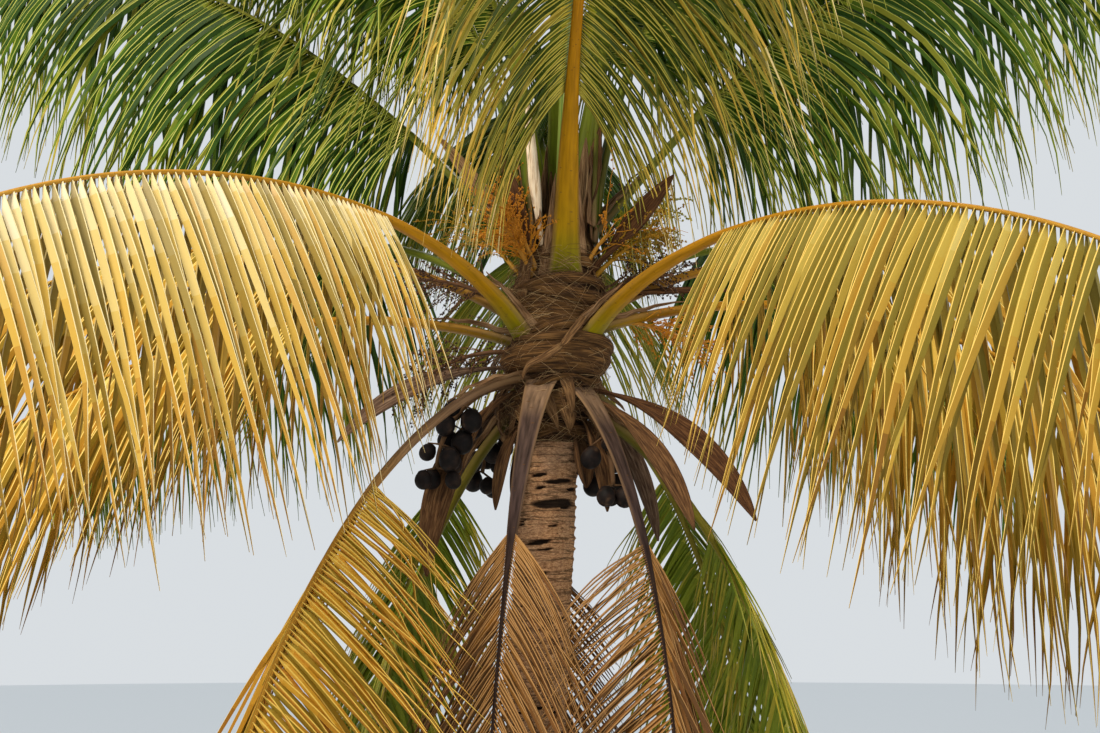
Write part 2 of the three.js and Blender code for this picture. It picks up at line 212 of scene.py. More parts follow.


# Weathered palm bark, dry and matt: warm brown with a grey bloom, drawn out sideways in fibres
# about 6 mm apart, parted by thin dark lines. It is painted nearly black, as shade, in the cracks and under
# the lip of each ring.
def bark_finish():
    finish, tree, shader = new_finish("weathered palm bark", {"Roughness": 0.92, "Specular IOR Level": 0.2})
    place = add_node(tree, "TexCoord").outputs["Object"]
    stretched = add_node(tree, "Mapping", {"Scale": (1, 1, 2.4), "Vector": place})
    fibres = add_node(tree, "TexNoise", {"Scale": 70, "Detail": 8, "Roughness": 0.8, "Vector": stretched})
    browns = add_node(tree, "ValToRGB", {"Fac": fibres, "stops": [
        (0.33, "#4a3220"), (0.44, "#966c4a"), (0.55, "#c4966a"), (0.68, "#e6c297")]})
    patches = add_node(tree, "TexNoise", {"Scale": 5, "Detail": 3, "Vector": place})
    bloom = add_node(tree, "MapRange", {"From Min": 0.5, "From Max": 0.75, "To Max": 0.3, "Value": patches})
    greyed = add_node(tree, "Mix", {"data_type": "RGBA", 0: bloom, 6: browns, 7: colour("#8d8074")})
    layered = add_node(tree, "Mapping", {"Scale": (1, 1, 14), "Vector": place})
    wander = add_node(tree, "TexNoise", {"Scale": 3, "Detail": 4, "Roughness": 0.55, "Vector": layered})
    centred = add_node(tree, "Math", {"operation": "SUBTRACT", 0: wander, 1: 0.5})
    away = add_node(tree, "Math", {"operation": "ABSOLUTE", 0: centred})
    crack = add_node(tree, "MapRange", {"From Min": 0.036, "From Max": 0.01, "To Max": 0.7, "Value": away})
    lined = add_node(tree, "Mix", {"data_type": "RGBA", 0: crack, 6: greyed, 7: colour("#24170d")})
    # The depth attribute paints shade on the bark: nearly black in the cracks and under each ring's lip.
    depth = add_node(tree, "Attribute", {"attribute_name": "depth"}).outputs["Fac"]
    painted_shade = add_node(tree, "MapRange", {"From Min": 0.8, "From Max": 0.15, "To Max": 0.96, "Value": depth})
    cracked = add_node(tree, "Mix", {"data_type": "RGBA", 0: painted_shade, 6: lined, 7: colour("#150d08")})
    paint(tree, shader, cracked, fibres, 0.7, 0.006)
    return finish


trunk = rolled("trunk_bark", TRUNK_SIDES, TRUNK_ROWS, trunk_shape)
trunk.data.materials.append(bark_finish())
keep(trunk, "trunk_bark", "trunk")


# The crown column is the stack of leaf bases that still clasp the stem. Each base tears into a brown
# net of fibre as the stem swells, and the nets wrap round one another in slanting bands.
COLUMN_PROFILE = [(0, 0.118), (0.04, 0.142), (0.13, 0.160), (0.24, 0.156), (0.33, 0.192), (0.44, 0.198),
                  (0.60, 0.176), (0.74, 0.138), (0.85, 0.096), (0.92, 0.052)]  # height over the trunk, radius
COLUMN_HEIGHT = COLUMN_PROFILE[-1][0]
COLUMN_SIDES = 96
COLUMN_ROWS = 130
MAT_DEPTH = 0.012
THREAD_DEPTH = 0.006
BAND_STEPS = 56
BAND_SIDES = 44


def column_radius(height):
    """The column's radius at a height over the trunk's top."""
    return np.interp(height, [p[0] for p in COLUMN_PROFILE], [p[1] for p in COLUMN_PROFILE])


def column_shape(around, share):
    height = share * COLUMN_HEIGHT
    spot = np.stack([np.cos(around), np.sin(around), height], -1)
    slanted = np.stack([np.cos(around + 3 * height), np.sin(around + 3 * height), height * 5], -1)
    depth = MAT_DEPTH * grain(spot, (1.5, 1.5, 7), 3) + THREAD_DEPTH * grain(slanted, (3, 3, 9), 4)
    reach = column_radius(height) - THREAD_DEPTH + depth
    return round_stem(around, reach, TRUNK_HEIGHT + height), np.clip(0.55 + depth / 0.02, 0, 1)


def unit(vectors):
    return vectors / np.maximum(np.linalg.norm(vectors, axis=-1, keepdims=True), 1e-9)


def build(name, grids, finishes, tones=None, values=None, crisp=False):
    """One object of many closed sweeps. Each grid is (sweeps, rings, sides, xyz); its ends are capped.
    tones gives each grid's finish numbers, values its point attributes, and crisp keeps long edges sharp."""
    points, corners, sizes, picks, spots = [], [], [], [], []
    first = 0
    for number, grid in enumerate(grids):
        count, rings, sides, _ = grid.shape
        index = first + np.arange(count * rings * sides).reshape(count, rings, sides)
        after = np.roll(index, -1, 2)
        quads = np.stack([index[:, :-1], after[:, :-1], after[:, 1:], index[:, 1:]], -1)
        flat = grid.reshape(-1, 3)
        middle = grid.mean((1, 2))
        corner = flat[quads - first] - middle[:, None, None, None]
        inside = (corner[..., 0, :] * np.cross(corner[..., 1, :], corner[..., 2, :])).sum((1, 2, 3)) < 0
        quads[inside] = quads[inside][..., ::-1]
        ends = np.stack([index[:, 0, ::-1], index[:, -1]], 1)
        ends[inside] = ends[inside][..., ::-1]
        run = np.linalg.norm(np.diff(grid.mean(2), axis=1), axis=-1).cumsum(1)
        run = np.concatenate([np.zeros((count, 1)), run], 1)
        girth = np.linalg.norm(np.diff(grid, axis=2), axis=-1).sum(2).mean(1)
        turn = np.arange(sides + 1) / sides * girth[:, None]
        low, high, left, right = (np.broadcast_to(part, quads.shape[:3]) for part in (
            run[:, :-1, None], run[:, 1:, None], turn[:, None, :-1], turn[:, None, 1:]))
        spot = np.stack([np.stack([left, low], -1), np.stack([right, low], -1),
                         np.stack([right, high], -1), np.stack([left, high], -1)], -2)
        spot[inside] = spot[inside][..., ::-1, :]
        tone = np.broadcast_to(0 if tones is None else tones[number], quads.shape[:3])
        points.append(flat)
        corners += [quads.ravel(), ends.ravel()]
        sizes += [np.full(quads[..., 0].size, 4), np.full(count * 2, sides)]
        picks += [tone.ravel(), np.stack([tone[:, 0, 0], tone[:, -1, 0]], -1).ravel()]
        spots += [spot.reshape(-1, 2), np.zeros((ends.size, 2))]
        first += len(flat)
    points, corners, sizes = np.concatenate(points), np.concatenate(corners), np.concatenate(sizes)
    mesh = bpy.data.meshes.new(name)
    mesh.vertices.add(len(points))
    mesh.vertices.foreach_set("co", points.astype(np.float32).ravel())
    mesh.loops.add(len(corners))
    mesh.loops.foreach_set("vertex_index", corners.astype(np.int32))
    mesh.polygons.add(len(sizes))
    mesh.polygons.foreach_set("loop_start", (np.cumsum(sizes) - sizes).astype(np.int32))
    for finish in finishes:
        mesh.materials.append(finish)
    mesh.polygons.foreach_set("material_index", np.concatenate(picks).astype(np.int32))
    mesh.update(calc_edges=True)
    mesh.shade_smooth()
    mesh.uv_layers.new(name="grain").data.foreach_set("uv", np.concatenate(spots).astype(np.float32).ravel())
    for key, value in (values or {}).items():
        measure = mesh.attributes.new(key, "FLOAT", "POINT")
        measure.data.foreach_set("value", np.asarray(value, np.float32).ravel())
    if crisp:
        ends = np.empty(len(mesh.edges) * 2, np.int32)
        mesh.edges.foreach_get("vertices", ends)
        gap = np.abs(np.diff(ends.reshape(-1, 2), axis=1)).ravel()
        sharp = mesh.attributes.new("sharp_edge", "BOOLEAN", "EDGE")
        sharp.data.foreach_set("value", gap == grids[0].shape[2])
    piece = bpy.data.objects.new(name, mesh)
    bpy.context.scene.collection.objects.link(piece)
    return piece


def strip(path, side, wide, deep, sides=12, hollow=0.0):
    """One sweep along a path: an oval section, its upper half hollowed as a channel where asked."""
    wide, deep, hollow = (np.broadcast_to(size, len(path)) for size in (wide, deep, hollow))
    way = unit(np.gradient(path, axis=0))
    side = unit(side - (side * way).sum(-1, keepdims=True) * way)
    top = np.cross(way, side)
    turn = np.arange(sides) / sides * 2 * math.pi
    out = np.cos(turn)[:, None] * side[:, None] * wide[:, None, None] / 2
    lift = (np.sin(turn) > 0) * hollow[:, None]
    rise = np.sin(turn) * (1 - lift * np.sin(turn) ** 2)
    height = rise[..., None] * top[:, None] * deep[:, None, None] / 2
    return path[:, None] + out + height


def band(start, span, level, tilt, wide, thick, chance):
    """A slanting wrap of fibre round the column, fat in its middle, with grooves along its length."""
    share = np.linspace(0, 1, BAND_STEPS + 1)
    around = math.radians(start) + math.radians(span) * share
    height = level + tilt * (share - 0.5) + 0.012 * np.sin(share * 7 + start)
    swell = np.sin(np.pi * np.clip(share, 0.02, 0.98)) ** 0.45
    turn = np.arange(BAND_SIDES) / BAND_SIDES * 2 * math.pi
    groove = chance.normal(0, 1, BAND_SIDES)
    wander = chance.uniform(0, 6, BAND_SIDES)
    comb = 0.0014 * groove[None] * (0.7 + 0.5 * np.sin(share[:, None] * 9 + wander[None]))
    up = np.cos(turn)[None] * wide / 2 * swell[:, None]
    out = np.sin(turn)[None] * thick * swell[:, None] + comb
    high = height[:, None] + up
    return round_stem(around[:, None], column_radius(high) + out, TRUNK_HEIGHT + high)


# Coarse dry palm fibre, like coir matting: matt red-brown, paler along the crests of its threads
# and dark between them; the threads' tones are their own, the dark between them is painted shade.
# The threads run along each wrap, about 4 mm apart. A piece may carry an attribute that is 0 where it
# tucks under its neighbour, in shade, and 1 where it stands proud; towards 0 the fibre is painted nearly
# black, as shade.
THREAD_GAP = 0.0045
THREAD_RUN = 0.09


def fibre_finish(name, dark, middle, pale, proud=None):
    finish, tree, shader = new_finish(name, {"Roughness": 0.95, "Specular IOR Level": 0.2})
    place = add_node(tree, "UVMap", {"uv_map": "grain"})
    combed = add_node(tree, "Mapping", {"Scale": (1 / THREAD_GAP, 1 / THREAD_RUN, 1), "Vector": place})
    threads = add_node(tree, "TexNoise",
                       {"Scale": 1, "Detail": 6, "Roughness": 0.65, "Distortion": 0.3, "Vector": combed})
    shown = add_node(tree, "ValToRGB", {"Fac": threads, "stops": [(0.32, dark), (0.5, middle), (0.68, pale)]})
    if proud:
        # Painted shade: the fibre darkens to nearly black where the attribute says it tucks under its
        # neighbour.
        rise = add_node(tree, "Attribute", {"attribute_name": proud}).outputs["Fac"]
        painted_tuck_shade = add_node(tree, "MapRange", {"From Min": 0.6, "From Max": 0.05, "To Max": 0.85, "Value": rise})
        shown = add_node(tree, "Mix", {"data_type": "RGBA", 0: painted_tuck_shade, 6: shown, 7: colour("#120b06")})
    paint(tree, shader, shown, threads, 0.9, 0.004)
    return finish


# The net of fibre under the wraps has no one direction: it is matted, darker, and lost in shade.
def matted_finish():
    finish, tree, shader = new_finish("matted leaf-base net", {"Roughness": 0.96, "Specular IOR Level": 0.2})
    place = add_node(tree, "TexCoord").outputs["Object"]
    crossed = add_node(tree, "Mapping", {"Rotation": (0.5, 0.3, 0), "Scale": (1, 1, 4), "Vector": place})
    threads = add_node(tree, "TexNoise",
                       {"Scale": 34, "Detail": 9, "Roughness": 0.7, "Distortion": 1.2, "Vector": crossed})
    browns = add_node(tree, "ValToRGB",
                      {"Fac": threads, "stops": [(0.35, "#140c05"), (0.52, "#3c2815"), (0.7, "#66472a")]})
    paint(tree, shader, browns, threads, 1.0, 0.006)
    return finish


column = rolled("crown_net", COLUMN_SIDES, COLUMN_ROWS, column_shape)
column.data.materials.append(matted_finish())
keep(column, "leaf_base_fibre", "crown_column")

# Each wrap's start and span round the column in degrees, its level, its rise, its width and thickness.
WRAPS = [
    (-215, 290, 0.325, 0.02, 0.140, 0.044), (-140, 190, 0.392, -0.05, 0.060, 0.050),
    (-30, 230, 0.310, 0.05, 0.130, 0.034), (30, 300, 0.520, 0.01, 0.170, 0.012),
    (-120, 120, 0.460, 0.06, 0.060, 0.026), (-150, 170, 0.590, -0.04, 0.070, 0.026),
    (-165, 200, 0.640, 0.02, 0.050, 0.034), (20, 200, 0.650, -0.02, 0.090, 0.022),
    (-100, 170, 0.740, 0.04, 0.080, 0.018), (90, 180, 0.760, -0.04, 0.080, 0.016),
    (-135, 95, 0.238, 0.03, 0.030, 0.040), (-60, 80, 0.245, -0.03, 0.034, 0.038),
    (-150, 130, 0.160, 0.01, 0.110, 0.034), (20, 250, 0.170, -0.03, 0.120, 0.024),
    (-80, 170, 0.050, 0.03, 0.070, 0.018), (100, 190, 0.050, 0.02, 0.080, 0.018),
]
chance = np.random.default_rng(11)
# Painted shade along the top and bottom edges of every wrap, where it tucks under its neighbour: 1 on the
# faces, 0 at the edges.
unshaded_share = np.abs(np.sin(np.arange(BAND_SIDES) / BAND_SIDES * 2 * math.pi))
shade = np.broadcast_to(unshaded_share, (len(WRAPS), BAND_STEPS + 1, BAND_SIDES))
wraps = build("fibre_wraps", [np.stack([band(*w, chance) for w in WRAPS])],
              [fibre_finish("coir wrap of a leaf base", "#180e06", "#4e351a", "#846036", "proud")],
              values={"proud": shade})
keep(wraps, "leaf_base_fibre")


def on_column(compass, height, proud=0.0):
    """Points on the column's skin, or proud of it, at a compass angle and a height over the trunk."""
    return round_stem(np.radians(compass), column_radius(height) + proud, TRUNK_HEIGHT + np.asarray(height))


# A torn strip of leaf base hangs curled across the front of the column, and frayed flaps of older
# bases turn down and outwards all round the stem below it. The strip's points give its compass
# angle, its height over the trunk and how far it stands off the skin.
STRAP = [(-34, 0.555, 0.02), (-46, 0.54, 0.045), (-62, 0.49, 0.055), (-75, 0.42, 0.06),
         (-84, 0.36, 0.075), (-98, 0.315, 0.085), (-114, 0.29, 0.075), (-124, 0.24, 0.06)]
STRAP_STEPS = 48
STRAP_WIDTH = 0.030
STRAP_THICKNESS = 0.007
FLAPS = 40
FLAP_STEPS = 12
FLAP_THICKNESS = 0.006
FLAP_LEVELS = [0.06, 0.13, 0.19, 0.25]  # over the trunk
SHEATHS = 22  # that stand up round the youngest stalks, all but in front of the middle one
BARE = (-134, -24)  # the compass angles between which none stands


def smooth_path(points, count):
    """Rounds off a few given points into an even line of count points."""
    points = np.asarray(points, float)
    knots = np.linspace(0, 1, len(points))
    share = np.linspace(0, 1, count)
    bases = np.exp(-((share[:, None] - knots[None]) * (len(points) - 1) / 0.62) ** 2)
    return bases @ points / bases.sum(1, keepdims=True)


def round_way(path):
    """The level directions round the stem, at every point of a line."""
    away = unit(path - np.stack([trunk_x(path[:, 2]), 0 * path[:, 0], path[:, 2]], -1))
    return np.stack([-away[:, 1], away[:, 0], 0 * away[:, 0]], -1)


way = smooth_path(STRAP, STRAP_STEPS)
path = on_column(way[:, 0], way[:, 1], way[:, 2])
share = np.linspace(0, 1, STRAP_STEPS)
turn = (0.5 + 0.9 * np.sin(share * 5))[:, None]
side = round_way(path) * np.sin(turn) + np.array([0, 0, 1.0]) * np.cos(turn)
width = STRAP_WIDTH * (0.45 + 0.55 * np.sin(np.pi * (0.08 + 0.86 * share)) ** 0.5)
strap = strip(path, side, width, STRAP_THICKNESS, 12, 0.9)
chance = np.random.default_rng(23)
share = np.linspace(0, 1, FLAP_STEPS)
flaps = []
for _ in range(FLAPS):
    compass = chance.uniform(-180, 180)
    height = chance.choice(FLAP_LEVELS) + chance.uniform(-0.02, 0.02)
    fall = chance.uniform(0.07, 0.17)
    flare = chance.uniform(0.02, 0.07)
    path = on_column(compass + chance.uniform(-25, 25) * share, height - fall * share ** 1.2,
                     0.012 + flare * np.sin(share * 2.2))
    width = chance.uniform(0.035, 0.075) * (1 - share ** 2.2) + 0.004
    flaps.append(strip(path, round_way(path), width, FLAP_THICKNESS, 12, 0.7))
for _ in range(SHEATHS):
    compass = chance.uniform(BARE[1], 360 + BARE[0])
    rise = chance.uniform(0.56, 0.76) + chance.uniform(0.16, 0.46) * share
    bearing = compass + chance.uniform(-12, 12) * share
    path = on_column(bearing, rise, 0.006 + chance.uniform(0.01, 0.09) * share)
    width = chance.uniform(0.03, 0.07) * (1 - share ** 3) + 0.004
    flaps.append(strip(path, round_way(path), width, FLAP_THICKNESS, 12, 0.8))
torn = build("torn_leaf_bases", [strap[None], np.stack(flaps)],
             [fibre_finish("torn papery leaf base", "#2c1d0c", "#5f4328", "#96744a")])
keep(torn, "leaf_base_fibre")

# Loose fibres stand out of the wraps on all sides, dark to straw-coloured, thinner than a match.
STRANDS = 1500
STRAND_STEPS = 5
STRAND_WIDTH = 0.0018


def loose_strands(count, chance):
    share = np.linspace(0, 1, STRAND_STEPS + 1)[None]
    compass = chance.uniform(-180, 180, count)[:, None]
    height = chance.uniform(0.0, 0.80, count)[:, None]
    length = chance.uniform(0.05, 0.20, count)[:, None]
    slope = chance.normal(-0.2, 0.5, count)[:, None]
    lift = chance.uniform(0.005, 0.05, count)[:, None]
    turn = compass + np.degrees(length / 0.19) * share * np.sign(chance.normal(0, 1, count))[:, None]
    rise = np.clip(height + length * (slope * share - 0.25 * share ** 2), 0.0, 0.9)
    proud = 0.012 + lift * np.sin(share * chance.uniform(1.5, 3.0, count)[:, None])
    path = on_column(turn.ravel(), rise.ravel(), proud.ravel()).reshape(count, -1, 3)
    path = path + np.cumsum(chance.normal(0, 0.0025, path.shape), 1)
    return hairs(path, STRAND_WIDTH * chance.uniform(0.7, 1.5, count)[:, None])


def hairs(path, width):
    """Three-sided threads along many lines at once, thinning to their tips."""
    way = unit(np.gradient(path, axis=1))
    side = unit(np.cross(way, np.array([0.31, 0.17, 0.93])))
    top = np.cross(way, side)
    taper = width * np.linspace(1, 0.35, path.shape[1])[None]
    turn = np.arange(3) / 3 * 2 * math.pi
    ring = np.cos(turn)[:, None] * side[:, :, None] + np.sin(turn)[:, None] * top[:, :, None]
    return path[:, :, None] + ring * taper[..., None, None] / 2


def plain_finish(name, code, rough):
    """One even colour, for things too thin to show a pattern."""
    return new_finish(name, {"Base Color": colour(code), "Roughness": rough, "Specular IOR Level": 0.25})[0]


chance = np.random.default_rng(31)
strands = loose_strands(STRANDS, chance)
picks = np.broadcast_to(chance.integers(0, 3, STRANDS)[:, None, None], (STRANDS, STRAND_STEPS, 3))
loose = build("loose_fibres", [strands],
              [plain_finish(f"loose fibre, {word}", code, 0.9)
               for word, code in (("dark", "#4a3423"), ("brown", "#7b5c3e"), ("straw", "#a98c62"))], [picks])
keep(loose, "leaf_base_fibre")


# A frond is one leaf, 3 to 4 m long: a stalk that clasps the column, the rib that carries it on, and
# a row of leaflets on each side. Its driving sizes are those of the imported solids: the compass angle,
# the foot's height over the trunk, the angles at foot and tip, the length, how early it bends and how
# far it swings; then the leaflets' droop, their angles to the rib at the first and last pair, their
# fold, their scale, and the leaf's age, which gives its colours.
FROND_KEYS = ("compass", "foot", "climb", "dip", "length", "bend", "swing", "droop", "open", "fold",
              "leaf", "age")
FRONDS = {
    "front_left": (-135, 0.34, 82, -37, 3.8, 0.36, 28, 0.60, (122, 56), -62, 1.25, "gold"),
    "front_right": (-46, 0.31, 80, -40, 3.8, 0.36, -26, 0.60, (122, 56), -62, 1.25, "brass"),
    "front_middle": (-78, 0.66, 84, -20, 3.7, 1.5, 10, 0.85, (132, 48), -12, 1.4, "silver"),
    "side_left": (186, 0.40, 20, -64, 3.6, 0.8, 4, 0.45, (60, 30), -40, 1.1, "amber"),
    "side_right": (-4, 0.45, 22, -66, 3.7, 0.8, 0, 0.70, (90, 45), -50, 1.4, "amber"),
    "mid_left": (174, 0.48, 40, -44, 3.6, 0.7, 0, 0.60, (66, 38), -40, 1.3, "amber"),
    "mid_right": (6, 0.50, 38, -46, 3.6, 0.7, 0, 0.60, (66, 38), -40, 1.3, "amber"),
    "upper_left": (158, 0.78, 47, -4, 3.9, 1.6, -22, 0.88, (84, 42), -56, 1.3, "green"),
    "upper_right": (20, 0.86, 50, -10, 3.8, 1.7, 20, 0.90, (80, 40), -48, 1.3, "green"),
    "high_left": (168, 0.80, 84, -20, 3.6, 1.3, 0, 0.80, (80, 32), -30, 0.95, "green"),
    "high_right": (12, 0.82, 84, -22, 3.6, 1.3, 0, 0.80, (80, 32), -30, 0.95, "green"),
    "high_back_left": (124, 0.78, 84, -22, 3.8, 1.3, 14, 0.80, (84, 30), -20, 1.35, "green"),
    "high_back_right": (62, 0.78, 82, -24, 3.8, 1.3, -10, 0.80, (84, 30), -20, 1.35, "green"),
    "heart_left": (190, 0.88, 88, 28, 3.0, 2, 0, 0.40, (80, 20), 20, 0.8, "green"),
    "heart_right": (0, 0.88, 88, 30, 3.0, 2, 0, 0.40, (80, 20), 20, 0.8, "green"),
    "heart_back": (93, 0.90, 88, 12, 3.3, 1.8, 0, 0.50, (90, 22), 15, 0.9, "green"),
    "back_left": (138, 0.50, 42, -52, 3.7, 0.9, 0, 0.80, (84, 34), -30, 1.3, "green"),
    "back_right": (44, 0.50, 42, -54, 3.7, 0.9, 0, 0.80, (84, 34), -30, 1.3, "green"),
    "back_high": (96, 0.64, 66, -36, 3.8, 1.0, 0, 0.80, (84, 30), -20, 1.3, "green"),
    "back_middle": (91, 0.47, 48, -40, 3.6, 0.9, 0, 0.75, (90, 34), -30, 1.25, "lime"),
    "hanging_left": (218, 0.25, 22, -90, 3.5, 0.32, 0, 0.30, (76, 50), -35, 1.0, "ochre"),
    "dead_left": (254, 0.25, 0, -90, 3.1, 0.2, -6, 0.50, (42, 25), -15, 0.9, "dead"),
    "dead_right": (312, 0.22, 20, -94, 3.1, 0.16, -30, 0.42, (66, 40), -15, 0.95, "dead"),
    "hanging_right": (18, 0.14, 14, -88, 3.1, 0.26, 0, 0.40, (50, 25), -20, 0.85, "lime"),
    "drooping_left": (160, 0.14, 0, -88, 3.0, 0.2, 0, 0.40, (50, 25), -20, 0.8, "lime"),
    "hanging_back_left": (122, 0.24, 16, -86, 3.4, 0.4, 0, 0.50, (55, 30), -30, 0.9, "lime"),
    "hanging_back_right": (56, 0.24, 18, -86, 3.4, 0.4, 0, 0.50, (55, 30), -30, 0.9, "lime"),
    "dead_back": (90, 0.12, -6, -89, 3.0, 0.22, 0, 0.30, (48, 25), -15, 0.65, "dead"),
}
FRONDS = {name: dict(zip(FROND_KEYS, row)) for name, row in FRONDS.items()}
TWIST = {"front_middle": 18}  # how far a blade is turned about its rib, in degrees
SHUT = {"hanging_left": -1, "dead_right": 1}  # the side whose leaflets have closed along the rib
SHUT_SHARE = 0.4  # of their angle to the rib
STALK = {"front_middle": 0.2, "upper_left": 0.2, "upper_right": 0.2,
         "heart_left": 0.36, "heart_right": 0.36, "heart_back": 0.36}
STALK_SHARE = 0.25  # of the length, without leaflets, on the other fronds
SLOTS = {"gold": "frond_gold", "brass": "frond_gold", "amber": "frond_gold", "silver": "frond_lime",
         "lime": "frond_lime", "green": "frond_green", "ochre": "frond_ochre", "dead": "frond_dead"}
FOOT_RADIUS = 0.13  # of a stalk's foot, from the column's axis, inside its fibre
RIB_STEPS = 90
RIB_SIDES = 16


def turned(across, up, turn):
    """Two crossed directions, turned together in their own plane."""
    return across * np.cos(turn) + up * np.sin(turn), up * np.cos(turn) - across * np.sin(turn)


def curve_of(compass, foot, climb, dip, length, bend, swing=0, steps=RIB_STEPS, radius=FOOT_RADIUS, twist=0):
    """The line that a frond's rib or any other crown stalk follows, with its frame at every point."""
    share = np.linspace(0, 1, steps + 1)
    rise = np.radians(climb + (dip - climb) * share ** bend)
    turn = np.radians(compass + swing * share ** 1.5)
    along = np.stack([np.cos(rise) * np.cos(turn), np.cos(rise) * np.sin(turn), np.sin(rise)], -1)
    across = np.stack([-np.sin(turn), np.cos(turn), 0 * turn], -1)
    up = np.cross(along, across)
    roll = np.radians(twist * np.clip((share - 0.15) / 0.4, 0, 1))[:, None]
    across, up = turned(across, up, roll)
    around = math.radians(compass)
    level = TRUNK_HEIGHT + foot
    start = np.array([float(trunk_x(level)) + radius * math.cos(around), radius * math.sin(around), level])
    run = np.concatenate([np.zeros((1, 3)), np.cumsum((along[1:] + along[:-1]) / 2, 0)]) * length / steps
    return {"share": share, "point": start + run, "along": along, "across": across, "up": up}


def rib_of(name):
    return curve_of(*(FRONDS[name][key] for key in FROND_KEYS[:7]), twist=TWIST.get(name, 0))


LIVE_WIDTHS = (0.112, 0.054)  # of a stalk at its foot and where the leaflets start
OLD_WIDTHS = (0.150, 0.042)
SLIM = {"lime": 0.7, "ochre": 0.62, "silver": 1.08}  # a stalk's width at some ages, against the common one


def rib_sizes(name, share):
    """Width, depth and channel of a frond's stalk and rib: a wide channelled foot, then a slim ridge."""
    age = FRONDS[name]["age"]
    stalk = STALK.get(name, STALK_SHARE)
    on_stalk = np.clip(share / stalk, 0, 1)
    on_rib = np.clip((share - stalk) / (1 - stalk), 0, 1)
    foot, top = OLD_WIDTHS if age == "dead" else LIVE_WIDTHS
    if age == "dead":
        wide = foot + (top - foot) * on_stalk ** 0.6 - 0.026 * (1 - np.exp(-on_rib / 0.07)) - 0.008 * on_rib
        deep = 0.026 - 0.004 * on_stalk - 0.014 * on_rib ** 0.5
    else:
        wide = foot + (top - foot) * on_stalk ** 1.1 + 0.03 * np.exp(-share / 0.02) - 0.042 * on_rib ** 0.6
        deep = 0.050 - 0.016 * on_stalk ** 2 - 0.024 * on_rib ** 0.35
    return wide * SLIM.get(age, 1), deep, 1.15 * (1 - on_stalk ** 2)


# The stalk is smooth and waxy. It is green where it leaves the fibre and turns orange-gold along a
# yellowed leaf; its margins dry to brown paper at the foot. Old ones are grey-brown, then black.
RIB_COLOURS = {
    "gold": [(0, "#5c6604"), (0.04, "#7a7002"), (0.1, "#9c7002"), (0.22, "#aa760e"), (1, "#ba8d3e")],
    "brass": [(0, "#5c6604"), (0.04, "#7a7002"), (0.1, "#9a6e02"), (0.22, "#a8740e"), (1, "#b08538")],
    "amber": [(0, "#626408"), (0.05, "#916a08"), (0.2, "#ab7616"), (1, "#b98a34")],
    "silver": [(0, "#626606"), (0.028, "#7c6e04"), (0.055, "#947202"), (0.1, "#9a7002"),
               (0.3, "#a06c08"), (1, "#a98436")],
    "green": [(0, "#4e5c12"), (0.2, "#646e1a"), (0.5, "#7c7c26"), (1, "#8c8a38")],
    "lime": [(0, "#54501a"), (0.2, "#776e20"), (1, "#90863a")],
    "ochre": [(0, "#553d1e"), (0.1, "#7c6048"), (0.2, "#8c6c4a"), (0.3, "#a37326"), (1, "#b9892c")],
    "dead": [(0, "#7e6650"), (0.05, "#78604a"), (0.085, "#4a3a32"), (0.2, "#40322e"), (0.3, "#2c201b"),
             (1, "#261b15")],
}  # along the whole length
STREAK_GAP = 0.005
STREAK_RUN = 0.12


def rib_finish(age):
    rough = {"dead": 0.85, "ochre": 0.8}.get(age, 0.5)
    swing = {"dead": 0.6, "ochre": 0.45}.get(age, 0.25)  # how far the streaks lie from the base colour
    settings = {"Roughness": rough, "Specular IOR Level": 0.08}
    finish, tree, shader = new_finish(f"waxy {age} leaf stalk", settings)
    along, edge = (add_node(tree, "Attribute", {"attribute_name": name}).outputs["Fac"]
                   for name in ("along", "edge"))
    base = add_node(tree, "ValToRGB", {"Fac": along, "stops": RIB_COLOURS[age]})
    place = add_node(tree, "UVMap", {"uv_map": "grain"})
    fine = add_node(tree, "Mapping", {"Scale": (1 / STREAK_GAP, 1 / STREAK_RUN, 1), "Vector": place})
    streaks = add_node(tree, "TexNoise", {"Scale": 1, "Detail": 4, "Vector": fine})
    shade = add_node(tree, "MapRange", {"From Min": 0.3, "From Max": 0.7, "To Min": 1 - swing,
                                        "To Max": 1 + 0.7 * swing, "Value": streaks})
    streaked = add_node(tree, "Mix", {"data_type": "RGBA", "blend_type": "MULTIPLY",
                                      0: 1.0, 6: base, 7: shade})
    dots = add_node(tree, "TexVoronoi", {"Scale": 55, "Vector": place})
    dotted = add_node(tree, "MapRange", {"From Min": 0.16, "From Max": 0.08, "To Max": 0.7, "Value": dots})
    specked = add_node(tree, "Mix", {"data_type": "RGBA", 0: dotted, 6: streaked, 7: colour("#5a3d1c")})
    papery = add_node(tree, "Mix", {"data_type": "RGBA", 0: edge, 6: specked, 7: colour("#86694a")})
    paint(tree, shader, papery, streaks, 0.35, 0.002)
    return finish


rib_finishes = {age: rib_finish(age) for age in RIB_COLOURS}
for name, frond in FRONDS.items():
    rib = rib_of(name)
    wide, deep, channel = rib_sizes(name, rib["share"])
    sweep = strip(rib["point"], rib["across"], wide, deep, RIB_SIDES, channel)
    turn = np.arange(RIB_SIDES) / RIB_SIDES * 2 * math.pi
    margin = np.clip((np.abs(np.cos(turn)) - 0.75) / 0.2, 0, 1)[None]
    edge = margin * np.exp(-rib["share"] / (0.2 if frond["age"] == "dead" else 0.07))[:, None]
    along = np.broadcast_to(rib["share"][:, None], edge.shape)
    piece = build(f"rib_{name}", [sweep[None]], [rib_finishes[frond["age"]]],
                  values={"along": along, "edge": edge})
    keep(piece, SLOTS[frond["age"]])


